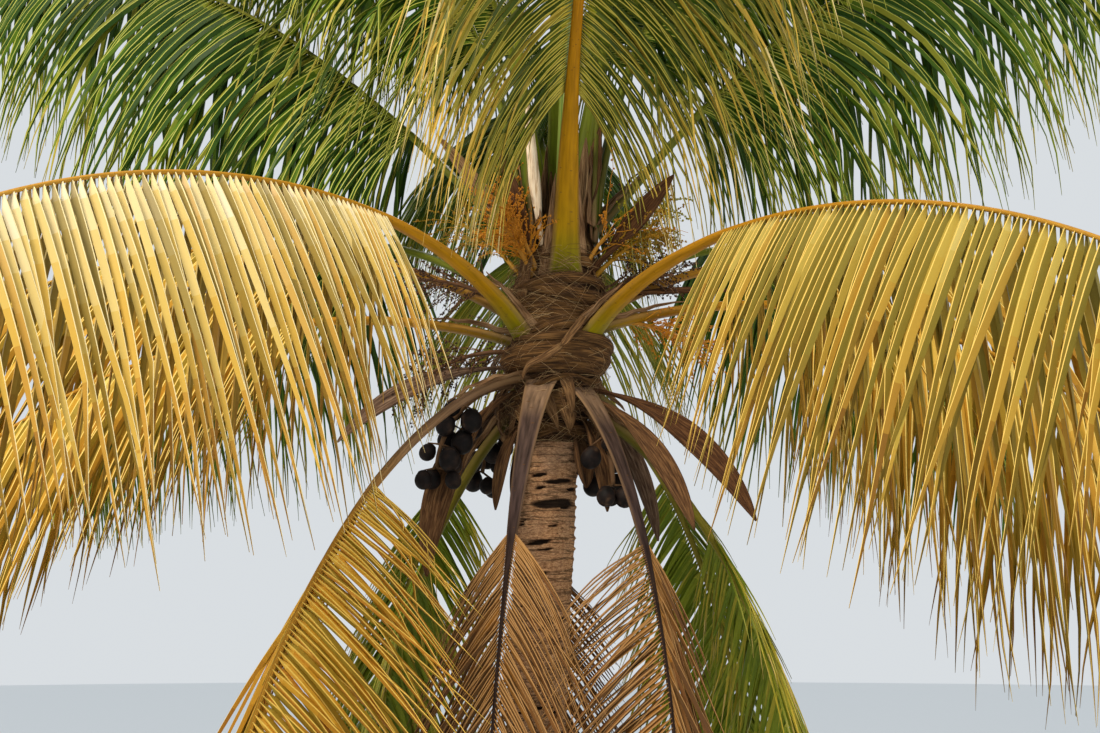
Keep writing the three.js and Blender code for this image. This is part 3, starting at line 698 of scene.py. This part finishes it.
# The foot of every living stalk keeps a torn brown margin of the sheath that once wrapped the bud.
MARGIN_LENGTH = 0.12  # of the frond
MARGIN_THICKNESS = 0.004
margins = []
for name, frond in FRONDS.items():
    if frond["age"] != "dead":
        far = int(MARGIN_LENGTH * RIB_STEPS)
        rib = {key: value[:far + 1] for key, value in rib_of(name).items()}
        chance = np.random.default_rng(len(margins))
        share = rib["share"] / rib["share"][far]
        wide, deep, _ = rib_sizes(name, rib["share"])
        for side in (-1, 1):
            ragged = chance.normal(0, 0.004, far + 1)
            half = (0.020 * (1 - share) ** 0.7 + 0.002) + np.abs(ragged) * (1 - share)
            path = rib["point"] + rib["across"] * (side * (wide / 2 + half * 0.6))[:, None]
            path = path + rib["up"] * (0.35 * deep + ragged)[:, None]
            lean = rib["across"] * side + rib["up"] * 0.5
            margins.append(strip(path, lean, half * 2, MARGIN_THICKNESS, 8))
piece = build("stalk_margins", [np.stack(margins)],
              [fibre_finish("papery sheath margin", "#3a2814", "#7a5a3c", "#ab8c66")])
keep(piece, "leaf_base_fibre")


# A leaflet is a stiff ribbon up to 1.4 m long and 5 cm wide, folded like a roof along a pale midrib.
# It starts in a point at the rib, is widest within a hand's breadth, and thins to a long thread that
# gravity pulls straight down. The older the leaf, the tighter the leaflets fold and curl.
LEAFLET_STEPS = 9
LEAFLET_LENGTH = 1.0  # the longest leaflet, before a frond's own scale
LEAFLET_WIDTH = 0.052
MIDRIB = 0.0042
BLADE_THICKNESS = 0.0016
SECTION = 5  # points round a leaflet: edge, two on the midrib, edge, and one underneath
CROWDING = 1.4  # the leaflets stand closer near the stalk than near the tip

# Each age of leaf: its pairs of leaflets, how late they droop (above 1 is late), the fold of each wing
# at the rib and the tip in degrees, the side that the fold's ridge shows on (1 above, -1 below), how
# far a leaflet turns about its own line, how far it strays from its row, its width against the common
# one, its roughness, its colours from the rib to the tip, the midrib, and two tints that some wings
# take: the first is painted shade, darkening mostly the wing turned from the light, the second another
# colour.
AGE_KEYS = ("pairs", "sag", "roof", "keel", "curl", "stray", "width", "rough", "ramp", "midrib", "tints")
AGES = {
    "gold": (84, 0.5, (44, 60), 1, 16, 0.5, 0.96, 0.55,
             ("#e0d2ac", "#d9c68e", "#d1b870", "#caac58", "#c6a144", "#b68a34", "#986c26"), "#f0dea6",
             ("#5c4a12", "#b8883a")),
    "brass": (86, 0.5, (44, 60), 1, 18, 0.5, 0.96, 0.55,
              ("#bca95c", "#b5a04c", "#b29a42", "#b1963c", "#b28f36", "#a27a2a", "#825c20"), "#e2bf62",
              ("#544e14", "#bf9036")),
    "amber": (80, 0.5, (40, 56), 1, 26, 0.8, 0.92, 0.58,
              ("#d6bc62", "#cda847", "#c49a34", "#b8892a", "#aa7c22", "#956c1e", "#7c561c"), "#e4c468",
              ("#6c6218", "#cc9a38")),
    "silver": (176, 0.7, (34, 60), -1, 50, 1, 0.66, 0.48,
               ("#8c8c20", "#566016", "#3b490e", "#51581a", "#8c822c", "#cba846", "#e0ca8a"), "#ac9e3e",
               ("#2c3a0a", "#c89a34")),
    "green": (126, 0.65, (24, 46), 1, 30, 1, 0.84, 0.45,
              ("#8b942c", "#4a6212", "#38540c", "#3c580e", "#4e6a12", "#6e7e1e", "#a4943a"), "#b2b24e",
              ("#12300a", "#bea63a")),
    "lime": (104, 1.0, (28, 52), 1, 40, 1, 0.64, 0.52,
             ("#a3a438", "#7e8a24", "#74821e", "#7c861e", "#8f8e2a", "#a3942f", "#b49c54"), "#c0b850",
             ("#4a6214", "#bca03a")),
    "ochre": (112, 0.8, (44, 62), 1, 30, 0.8, 0.78, 0.7,
              ("#e6b84a", "#dba43a", "#cf982c", "#c08a24", "#b07a1e", "#9c681c", "#80541c"), "#e8c058",
              ("#6a6018", "#b8742a")),
    "dead": (120, 1.0, (60, 74), 1, 60, 1, 0.62, 0.85,
             ("#a06a2a", "#8e6028", "#80572a", "#785028", "#744c28", "#7c572e", "#664a30"), "#a67c4a",
             ("#38281a", "#a07a4c")),
}
AGES = {age: dict(zip(AGE_KEYS, look)) for age, look in AGES.items()}
LEVELS = 7  # colours in a ramp
TINT_SHARE = 0.5


def tinted(code, tint, share):
    """A hex colour moved part of the way to another."""
    return "#" + "".join(f"{round(int(code[i:i + 2], 16) * (1 - share) + int(tint[i:i + 2], 16) * share):02x}"
                         for i in (1, 3, 5))


# Leaf blades: waxy and a little glossy when alive, dull once dry. The colours change from leaflet to
# leaflet and from the rib to the tip, as the blade yellows and dries from its tip. Each colour also
# comes in a copy darkened by the first tint, painted shade for wings turned from the light.
def blade_finishes(age):
    look = AGES[age]
    codes = list(look["ramp"])
    for tint in look["tints"]:
        codes += [tinted(code, tint, TINT_SHARE) for code in look["ramp"]]
    codes.append(look["midrib"])
    settings = {"Roughness": look["rough"], "Specular IOR Level": 0.16}
    return [new_finish(f"{age} leaflet {number + 1}", {**settings, "Base Color": colour(code)})[0]
            for number, code in enumerate(codes)]


def leaflet_share(place):
    """How long a leaflet is against the longest, from the first pair (0) to the last (1)."""
    first = 0.55 + 0.45 * np.sin(np.minimum(place, 0.3) / 0.3 * math.pi / 2)
    return np.where(place < 0.3, first, 1 - 0.62 * (np.maximum(place - 0.3, 0) / 0.7) ** 1.7)


def frame_at(line, share):
    """Where a line is at any shares of its length, and its three directions there."""
    return [np.stack([np.interp(share, line["share"], line[key][:, i]) for i in range(3)], -1)
            for key in ("point", "along", "across", "up")]


def leaflet_row(name, rib, side, chance):
    """The leaflets on one side of a frond: their sections from base to tip and their finish numbers."""
    frond = FRONDS[name]
    look = AGES[frond["age"]]
    pairs = look["pairs"]
    stalk = STALK.get(name, STALK_SHARE)
    place = ((np.arange(pairs) + chance.uniform(0, 0.25, pairs)) / pairs) ** CROWDING
    share = stalk + (1 - stalk) * place
    foot, along, across, up = frame_at(rib, share)
    wide, deep, _ = rib_sizes(name, share)
    foot = foot + across * (side * wide * 0.36)[:, None] + up * (deep * 0.3)[:, None]
    angle = frond["open"][1] + (frond["open"][0] - frond["open"][1]) * (1 - place) ** 1.6
    angle = angle * (SHUT_SHARE if SHUT.get(name) == side else 1)
    loose = 3 if SHUT.get(name) == side else look["stray"]
    angle = (np.radians(angle) + chance.normal(0, 0.032 * loose, pairs))[:, None]
    fold = (math.radians(frond["fold"]) + chance.normal(0, 0.05 * loose, pairs))[:, None]
    start = along * np.cos(angle) + across * side * np.sin(angle) * np.cos(fold)
    start = start + up * np.sin(angle) * np.sin(fold)
    outer = up * np.cos(fold) - across * side * np.sin(fold)
    length = LEAFLET_LENGTH * frond["leaf"] * leaflet_share(place) * chance.normal(1, 0.04, pairs)
    length = length * np.where(chance.random(pairs) < 0.05, chance.uniform(0.5, 0.85, pairs), 1)
    stops = np.linspace(0, 1, LEAFLET_STEPS + 1) ** 1.3
    middle = (stops[1:] + stops[:-1]) / 2
    droop = np.clip(frond["droop"] + chance.normal(0, 0.05 * look["stray"], pairs), 0.1, 0.97)[:, None]
    pull = droop * middle ** look["sag"]
    broken = (chance.random(pairs) < 0.06)[:, None] & (middle > chance.uniform(0.35, 0.8, pairs)[:, None])
    pull = np.where(broken, np.maximum(pull, 0.9), pull)
    way = start[:, None] * (1 - pull)[..., None]
    way[..., 2] -= pull
    sway = chance.normal(0, 0.05, pairs)[:, None] + 0.10 * chance.normal(0, 1, pairs)[:, None] * middle
    beat = chance.uniform(4, 9, pairs)[:, None]
    lag = chance.uniform(0, 6, pairs)[:, None]
    wave = np.sin(middle * beat + lag) * middle
    sway = (sway + wave * chance.normal(0, 0.09, pairs)[:, None]) * look["stray"]
    way = unit(way + along[:, None] * sway[..., None])
    line = np.cumsum(way * (np.diff(stops) * length[:, None])[..., None], 1)
    line = foot[:, None] + np.concatenate([np.zeros((pairs, 1, 3)), line], 1)
    heading = unit(np.concatenate([way[:, :1], way[:, 1:] + way[:, :-1], way[:, -1:]], 1))
    breadth = unit(along[:, None] - (along[:, None] * heading).sum(-1, keepdims=True) * heading)
    ridge = np.cross(heading, breadth)
    ridge = ridge * look["keel"] * np.sign((ridge[:, :1] * outer[:, None]).sum(-1, keepdims=True))
    # sunny picks the wing that faces the light; the other is mostly given the first tint, as painted shade.
    sunny = breadth[:, 2, 0] < 0
    curl = math.radians(look["curl"])
    turn = chance.normal(0, 0.12, pairs)[:, None] + chance.normal(0, curl, pairs)[:, None] * stops ** 1.4
    breadth, ridge = turned(breadth, ridge, turn[..., None])
    swell = np.minimum(0.14 + stops / 0.055 * 0.86, 1)
    swell = swell * (1 - 0.96 * np.clip((stops - 0.28) / 0.72, 0, 1) ** 1.25)
    slim = np.minimum(0.45 + 2.4 * place, 0.5 + 0.5 * leaflet_share(place)) * chance.normal(1, 0.08, pairs)
    half = (LEAFLET_WIDTH * look["width"] / 2 * swell * slim[:, None])[..., None]
    roof = np.radians(look["roof"][0] + (look["roof"][1] - look["roof"][0]) * stops)
    roof = (roof + chance.normal(0, 0.10, pairs)[:, None])[..., None]
    rib_half = np.minimum(MIDRIB / 2 * (1.1 - 0.7 * stops[None, :, None]), half * 0.5)
    edge = breadth * half * np.cos(roof)
    drop = ridge * half * np.sin(roof)
    sections = np.stack([line + edge - drop, line + breadth * rib_half + ridge * 0.0006,
                         line - breadth * rib_half + ridge * 0.0006, line - edge - drop,
                         line - ridge * BLADE_THICKNESS], 2)
    return sections, leaflet_tones(pairs, middle, sunny, chance)


def leaflet_tones(pairs, middle, sunny, chance):
    """Deals an age's finishes out to the faces of one row of leaflets: a level of the ramp for every
    step, and a tint for each wing. The wing on the sunny side keeps the plain colours; the other mostly
    takes the first tint, painted shade."""
    level = (LEVELS - 1) * middle ** 0.62 + chance.normal(0, 0.5, pairs)[:, None]
    level = np.clip(np.round(level), 0, LEVELS - 1).astype(int)
    sunny = np.where(chance.random(pairs) < 0.2, ~sunny, sunny)
    mood = chance.random(pairs)
    sunny_wing_tint = np.select([mood < 0.12, mood < 0.34], [1, 2], 0)
    shaded_wing_tint = np.where(mood < 0.75, 1, 0)
    faces = np.repeat(level[..., None], SECTION, 2)
    left = np.where(sunny, sunny_wing_tint, shaded_wing_tint)[:, None] * LEVELS
    right = np.where(sunny, shaded_wing_tint, sunny_wing_tint)[:, None] * LEVELS
    faces[..., 0] += left
    faces[..., 4] += left
    faces[..., 2] += right
    faces[..., 3] += right
    faces[..., 1] = 3 * LEVELS
    return faces


blades = {age: blade_finishes(age) for age in AGES}
for number, (name, frond) in enumerate(FRONDS.items()):
    rib = rib_of(name)
    chance = np.random.default_rng(100 + number)
    rows = [leaflet_row(name, rib, side, chance) for side in (-1, 1)]
    grids, tones = zip(*rows)
    piece = build(f"leaflets_{name}", grids, blades[frond["age"]], tones, crisp=True)
    keep(piece, SLOTS[frond["age"]], f"frond_{name}_inner", f"frond_{name}_outer")


# Spathes are the woody boats that once held the flowers: long pointed bracts, ribbed and brown, still
# hanging below the fruit or standing up between the young stalks.
SPATHE_STEPS = 36
SPATHES = [
    ((-16, 0.22, 2, -64, 0.94, 0.7), 70, 0.100, "dark"),
    ((-24, 0.20, 0, -72, 0.78, 0.5), 60, 0.085, "brown"),
    ((196, 0.22, 8, -90, 0.92, 0.42), -70, 0.115, "brown"),
    ((192, 0.30, 6, -50, 0.86, 1), -60, 0.080, "grey"),
    ((-26, 0.64, 46, 44, 0.58, 1), 80, 0.095, "dark"), ((190, 0.72, 56, 50, 0.66, 1), -60, 0.080, "tan"),
    ((-8, 0.58, 10, -5, 0.62, 1), 30, 0.050, "dark"), ((204, 0.68, 78, 66, 0.52, 1), 0, 0.100, "dark"),
    ((-34, 0.06, -20, -90, 0.26, 0.3), 0, 0.110, "brown"),
    ((212, 0.12, -10, -88, 0.44, 0.35), 0, 0.080, "brown"),
    ((222, 0.08, -30, -88, 0.34, 0.4), 20, 0.070, "dark"),
    ((-30, 0.14, -10, -88, 0.46, 0.3), 20, 0.080, "brown"),
    ((150, 0.24, 0, -80, 0.80, 0.5), 0, 0.100, "grey"),
    ((100, 0.22, 0, -84, 0.74, 0.4), 0, 0.095, "tan"), ((40, 0.24, 0, -78, 0.82, 0.5), 0, 0.100, "grey"),
    ((75, 0.66, 60, 44, 0.60, 1), 0, 0.085, "dark"), ((-132, 0.78, 78, 84, 0.62, 1), 90, 0.055, "pale"),
    ((-40, 0.76, 86, 84, 0.48, 1), 90, 0.050, "tan"), ((-16, 0.78, 84, 80, 0.52, 1), 90, 0.064, "brown"),
]  # each one's curve, how far it is rolled about its own line in degrees, its width and its colour
SPATHE_COLOURS = {"grey": ("#2b1f17", "#5c4636", "#86705a"), "tan": ("#49331f", "#7d6040", "#a98c64"),
                  "brown": ("#2a1a0e", "#5c3f26", "#86633e"), "dark": ("#1e1209", "#4a2e18", "#704e2e"),
                  "pale": ("#b08c62", "#ecd4b2", "#fff2d6")}
for tint, codes in SPATHE_COLOURS.items():
    boats = []
    for shape, roll, wide, kind in SPATHES:
        if kind == tint:
            line = curve_of(*shape, steps=SPATHE_STEPS, radius=0.10, twist=roll)
            swell = np.sin(np.pi * np.clip(line["share"], 0, 0.995) ** 1.3) ** 0.75
            swell = np.maximum(swell, 0.5 * (1 - line["share"])) + 0.03
            deep = 0.45 * wide * swell + 0.006
            boats.append(strip(line["point"], line["across"], wide * swell, deep, 20, 1.25))
    piece = build(f"spathes_{tint}", [np.stack(boats)], [fibre_finish(f"{tint} woody spathe", *codes)])
    keep(piece, "leaf_base_fibre")


# Flower stalks stand between the feet of the leaves and branch into 12 to 80 thin arms, set with
# small round buds. Fresh ones are green-gold or orange, the spent ones dry and brown.
FLOWERS = [
    ((200, 0.66, 76, 60, 0.36, 1), 80, 0.16, "orange"), ((222, 0.62, 64, 40, 0.30, 1), 60, 0.15, "orange"),
    ((-34, 0.66, 66, 40, 0.22, 1), 12, 0.30, "orange"), ((-132, 0.64, 70, 48, 0.20, 1), 12, 0.24, "orange"),
    ((-18, 0.62, 50, 24, 0.38, 1), 80, 0.16, "yellow"), ((-6, 0.66, 56, 36, 0.46, 1), 50, 0.14, "fresh"),
    ((194, 0.52, 30, 0, 0.50, 1), 60, 0.18, "dry"), ((-4, 0.48, 12, -34, 0.48, 1), 60, 0.18, "orange"),
    ((190, 0.36, 10, -40, 0.46, 1), 50, 0.18, "dry"), ((-10, 0.54, 40, 0, 0.40, 1), 50, 0.15, "dry"),
    ((150, 0.60, 60, 30, 0.50, 1), 46, 0.22, "yellow"), ((95, 0.58, 60, 30, 0.50, 1), 46, 0.22, "orange"),
    ((40, 0.60, 60, 30, 0.50, 1), 46, 0.22, "dry"), ((120, 0.42, 20, -30, 0.45, 1), 46, 0.22, "dry"),
]
STEM_STEPS = 24
STEM_SIDES = 10
ARM_STEPS = 8
ARM_WIDTH = 0.005
BUDS = 12  # on each arm
BUD_RINGS = 3
BUD_SIDES = 4


def bud_grid(places, sizes):
    """Small closed balls at many places at once."""
    rise = (np.arange(BUD_RINGS) + 0.5) / BUD_RINGS * math.pi
    turn = np.arange(BUD_SIDES) / BUD_SIDES * 2 * math.pi
    ball = np.stack([np.sin(rise)[:, None] * np.cos(turn), np.sin(rise)[:, None] * np.sin(turn),
                     -np.cos(rise)[:, None] + 0 * turn], -1)
    return places[:, None, None] + ball[None] * sizes[:, None, None, None]


def stem_of(line, wide, deep):
    """A stalk along a line. Its width and its depth each say what it has at its foot and loses on the way."""
    wide, deep = (foot - loss * line["share"] for foot, loss in (wide, deep))
    return strip(line["point"], line["across"], wide, deep, STEM_SIDES)


def flower_stalk(shape, arms, reach, chance):
    """The stalk, its arms and their buds, as grids."""
    line = curve_of(*shape, steps=STEM_STEPS, radius=0.11)
    stem = stem_of(line, (0.030, 0.018), (0.024, 0.014))
    foot, along, across, up = frame_at(line, chance.uniform(0.35, 1.0, arms))
    spin = chance.uniform(0, 2 * math.pi, arms)[:, None]
    spread = np.radians(chance.uniform(20, 62, arms))[:, None]
    start = along * np.cos(spread) + (across * np.cos(spin) + up * np.sin(spin)) * np.sin(spread)
    share = np.linspace(0, 1, ARM_STEPS + 1)
    way = start[:, None] + np.array([0, 0, -1.0]) * (0.5 * share ** 1.5)[None, :, None]
    way = unit(way + chance.normal(0, 0.10, way.shape))
    length = (reach * chance.uniform(0.6, 1.1, arms))[:, None, None]
    path = foot[:, None] + np.cumsum(way, 1) * length / ARM_STEPS
    spots = chance.uniform(0.25, 1.0, (arms, BUDS)) * ARM_STEPS
    low = np.minimum(spots.astype(int), ARM_STEPS - 1)
    part = (spots - low)[..., None]
    rows = np.arange(arms)[:, None]
    places = path[rows, low] * (1 - part) + path[rows, low + 1] * part
    places = places + chance.normal(0, 0.004, places.shape)
    buds = bud_grid(places.reshape(-1, 3), chance.uniform(0.0026, 0.0050, arms * BUDS))
    return stem, hairs(path, ARM_WIDTH * np.ones((arms, 1))), buds


FLOWER_COLOURS = {"orange": ("#b07a26", "#c6861c", "#b07016"), "yellow": ("#a87c1e", "#ac861e", "#987018"),
                  "fresh": ("#a49c1c", "#b0aa20", "#a0981c"), "dry": ("#5f4128", "#6b4a2c", "#3a2516")}
for tint, codes in FLOWER_COLOURS.items():
    chance = np.random.default_rng(len(tint))
    sets = [flower_stalk(shape, arms, reach, chance) for shape, arms, reach, kind in FLOWERS if kind == tint]
    grids = [stem[None] for stem, _, _ in sets] + [arm for _, arm, _ in sets] + [bud for _, _, bud in sets]
    picks = [0] * len(sets) + [1] * len(sets) + [2] * len(sets)
    finishes = [plain_finish(f"{tint} flower {part}", code, 0.6)
                for part, code in zip(("stalk", "arm", "bud"), codes)]
    keep(build(f"flowers_{tint}", grids, finishes, picks), "leaf_base_fibre")


# Coconuts hang in bunches under the leaf bases: egg-shaped, a hand's width across, the dark husk
# nearly black with a brown bloom, each with a small cap of scales where it joins its stalk.
NUT_WIDTH = 0.094
NUT_HEIGHT = 0.106
BUNCHES = [
    ((203, 0.22, 18, -84, 0.56, 0.72), 4), ((-38, 0.15, -4, -89, 0.40, 0.5), 2),
    ((128, 0.22, 10, -80, 0.52, 0.8), 4), ((60, 0.20, 8, -82, 0.48, 0.8), 4),
    ((88, 0.14, 0, -84, 0.40, 0.8), 3),
]  # the curve of each bunch's stalk, and its rings of nuts
NUTS_ROUND = 3
NUT_OFFSET = 0.058  # of a nut's middle from its stalk
NUT_DROP = 0.045


def husk_finish():
    finish, tree, shader = new_finish("dark coconut husk", {"Roughness": 0.62, "Specular IOR Level": 0.14})
    place = add_node(tree, "TexCoord").outputs["Object"]
    cloud = add_node(tree, "TexNoise", {"Scale": 26, "Detail": 5, "Vector": place})
    tones = add_node(tree, "ValToRGB", {"Fac": cloud, "stops": [
        (0.35, "#0a0706"), (0.52, "#191210"), (0.62, "#281c15"), (0.74, "#4c392a")]})
    paint(tree, shader, tones, cloud, 0.3, 0.002)
    return finish


def add_nut(place, tilt, spin, size):
    """One nut, made from a sphere: drawn out to an egg, pinched to three soft keels, then placed."""
    bpy.ops.object.select_all(action="DESELECT")
    bpy.ops.mesh.primitive_uv_sphere_add(segments=20, ring_count=12, radius=0.5)
    nut = bpy.context.object
    spots = np.empty(len(nut.data.vertices) * 3)
    nut.data.vertices.foreach_get("co", spots)
    spots = spots.reshape(-1, 3)
    around = np.arctan2(spots[:, 1], spots[:, 0])
    keel = 1 + 0.035 * np.cos(3 * around) * np.clip(1 - np.abs(spots[:, 2]) * 1.6, 0, 1)
    wide = keel * (1 - 0.12 * spots[:, 2]) * NUT_WIDTH
    spots = spots * np.stack([wide, wide, NUT_HEIGHT + 0 * keel], -1) * size
    cap = np.clip((spots[:, 2] / (NUT_HEIGHT * size) - 0.40) / 0.02, 0, 1)[:, None]
    spots = spots * (1 + cap * np.array([0.16, 0.16, 0.03]))
    nut.data.vertices.foreach_set("co", spots.ravel())
    for face in nut.data.polygons:
        face.material_index = int(face.center[2] > 0.41 * NUT_HEIGHT * size)
    nut.rotation_euler = (tilt, 0, spin)
    nut.location = place
    bpy.ops.object.transform_apply(location=True, rotation=True, scale=True)
    bpy.ops.object.shade_smooth()
    return nut


chance = np.random.default_rng(47)
nuts, stems, twigs = [], [], []
for shape, rings in BUNCHES:
    line = curve_of(*shape, steps=STEM_STEPS, radius=0.12)
    stems.append(stem_of(line, (0.034, 0.016), (0.028, 0.012)))
    for ring in range(rings):
        row = int(STEM_STEPS * (0.52 + 0.48 * ring / (rings - 1)))
        for number in range(NUTS_ROUND):
            turn = 2 * math.pi * (number + 0.5 * (ring % 2)) / NUTS_ROUND + chance.normal(0, 0.12)
            away = line["across"][row] * math.cos(turn) + line["up"][row] * math.sin(turn)
            middle = line["point"][row] + away * NUT_OFFSET + np.array([0, 0, -NUT_DROP])
            middle = middle + chance.normal(0, 0.009, 3)
            size = chance.uniform(0.68, 0.92)
            nuts.append(add_nut(middle, chance.normal(0, 0.35), turn, size))
            top = middle + np.array([0, 0, 0.5 * NUT_HEIGHT * size])
            twigs.append(hairs(np.linspace(line["point"][row], top, 6)[None], np.array([[0.012]])))
bpy.ops.object.select_all(action="DESELECT")
for nut in nuts:
    nut.select_set(True)
bpy.context.view_layer.objects.active = nuts[0]
bpy.ops.object.join()
nuts[0].name = nuts[0].data.name = "coconuts"
nuts[0].data.materials.append(husk_finish())
nuts[0].data.materials.append(plain_finish("dry scales of the nut's cap", "#33251a", 0.85))
keep(nuts[0], "leaf_base_fibre")
stalks = build("nut_stalks", [np.stack(stems)] + twigs, [plain_finish("dry nut stalk", "#5a4129", 0.85)])
keep(stalks, "leaf_base_fibre")


# The spear is the next leaf, still folded shut: a pleated green-yellow lance straight up the middle.
SPEAR_HEIGHT = 2.15
SPEAR_RADIUS = 0.034
SPEAR_SIDES = 40


def spear_shape(around, share):
    pleat = 1 + 0.07 * np.cos(around * 12)
    swell = (0.8 + 0.6 * share) * np.sqrt(np.clip(1 - share ** 2, 0.0004, 1))
    height = TRUNK_HEIGHT + COLUMN_HEIGHT + share * SPEAR_HEIGHT * 0.999
    return round_stem(around, SPEAR_RADIUS * swell * pleat, height), np.clip(pleat - 0.5, 0, 1)


def spear_finish():
    finish, tree, shader = new_finish("folded young leaf", {"Roughness": 0.45, "Specular IOR Level": 0.4})
    # The colour follows the pleats: yellow-green on their crests and dark green in their folds, the dark
    # being painted shade.
    depth = add_node(tree, "Attribute", {"attribute_name": "depth"}).outputs["Fac"]
    greens = add_node(tree, "ValToRGB", {"Fac": depth, "stops": [(0.42, "#3f5f20"), (0.57, "#7f8c38")]})
    tree.links.new(output_of(greens), shader.inputs["Base Color"])
    return finish


spear = rolled("spear_leaf_pleated", SPEAR_SIDES, 60, spear_shape)
spear.data.materials.append(spear_finish())
keep(spear, "frond_lime", "spear_leaf")


# The stage: a plain pale floor, a pale studio backdrop, a large soft key light from high on the left,
# a fill from the right and one from behind. The camera looks slightly up, as the photographer did.
FLOOR_COLOUR = "#e2e6e8"
CAMERA_HEIGHT = 2.86
CAMERA_DISTANCE = 7.0
CAMERA_PITCH = 7.76
FOCAL_PIXELS = 1750
IMAGE_WIDTH = 1100
SENSOR_WIDTH = 36
LIGHT_AIM = Vector((TRUNK_LEAN, 0, 3.8))

bpy.ops.object.select_all(action="DESELECT")
bpy.ops.mesh.primitive_circle_add(vertices=96, radius=60, fill_type="NGON", location=(0, 0, 0))
floor = bpy.context.object
floor.name = "studio_floor"
matt = new_finish("matt studio floor", {"Base Color": colour(FLOOR_COLOUR), "Roughness": 0.9})[0]
floor.data.materials.append(matt)

world = bpy.data.worlds.new("studio")
world.use_nodes = True
world.node_tree.nodes["Background"].inputs["Color"].default_value = colour("#e9eef2")
world.node_tree.nodes["Background"].inputs["Strength"].default_value = 0.85
bpy.context.scene.world = world

for title, place, size, power, tint in (
    ("key", (-5.5, -7.5, 12.0), 4.0, 1550, "#fff2df"),
    ("fill", (8.0, -6.0, 6.0), 6.0, 300, "#fff6ea"),
    ("back", (2.0, 9.0, 11.0), 5.0, 900, "#fff6ea"),
):
    lamp = bpy.data.lights.new(title, "AREA")
    lamp.size = size
    lamp.energy = power
    lamp.color = colour(tint)[:3]
    holder = bpy.data.objects.new(title, lamp)
    holder.location = place
    holder.rotation_euler = (LIGHT_AIM - Vector(place)).to_track_quat("-Z", "Y").to_euler()
    bpy.context.scene.collection.objects.link(holder)

bpy.ops.object.camera_add(location=(TRUNK_LEAN, -CAMERA_DISTANCE, CAMERA_HEIGHT),
                          rotation=(math.radians(90 + CAMERA_PITCH), 0, 0))
camera = bpy.context.object
camera.name = "camera"
camera.data.sensor_width = SENSOR_WIDTH
camera.data.lens = FOCAL_PIXELS / IMAGE_WIDTH * SENSOR_WIDTH
bpy.context.scene.camera = camera
bpy.context.scene.view_settings.view_transform = "Standard"
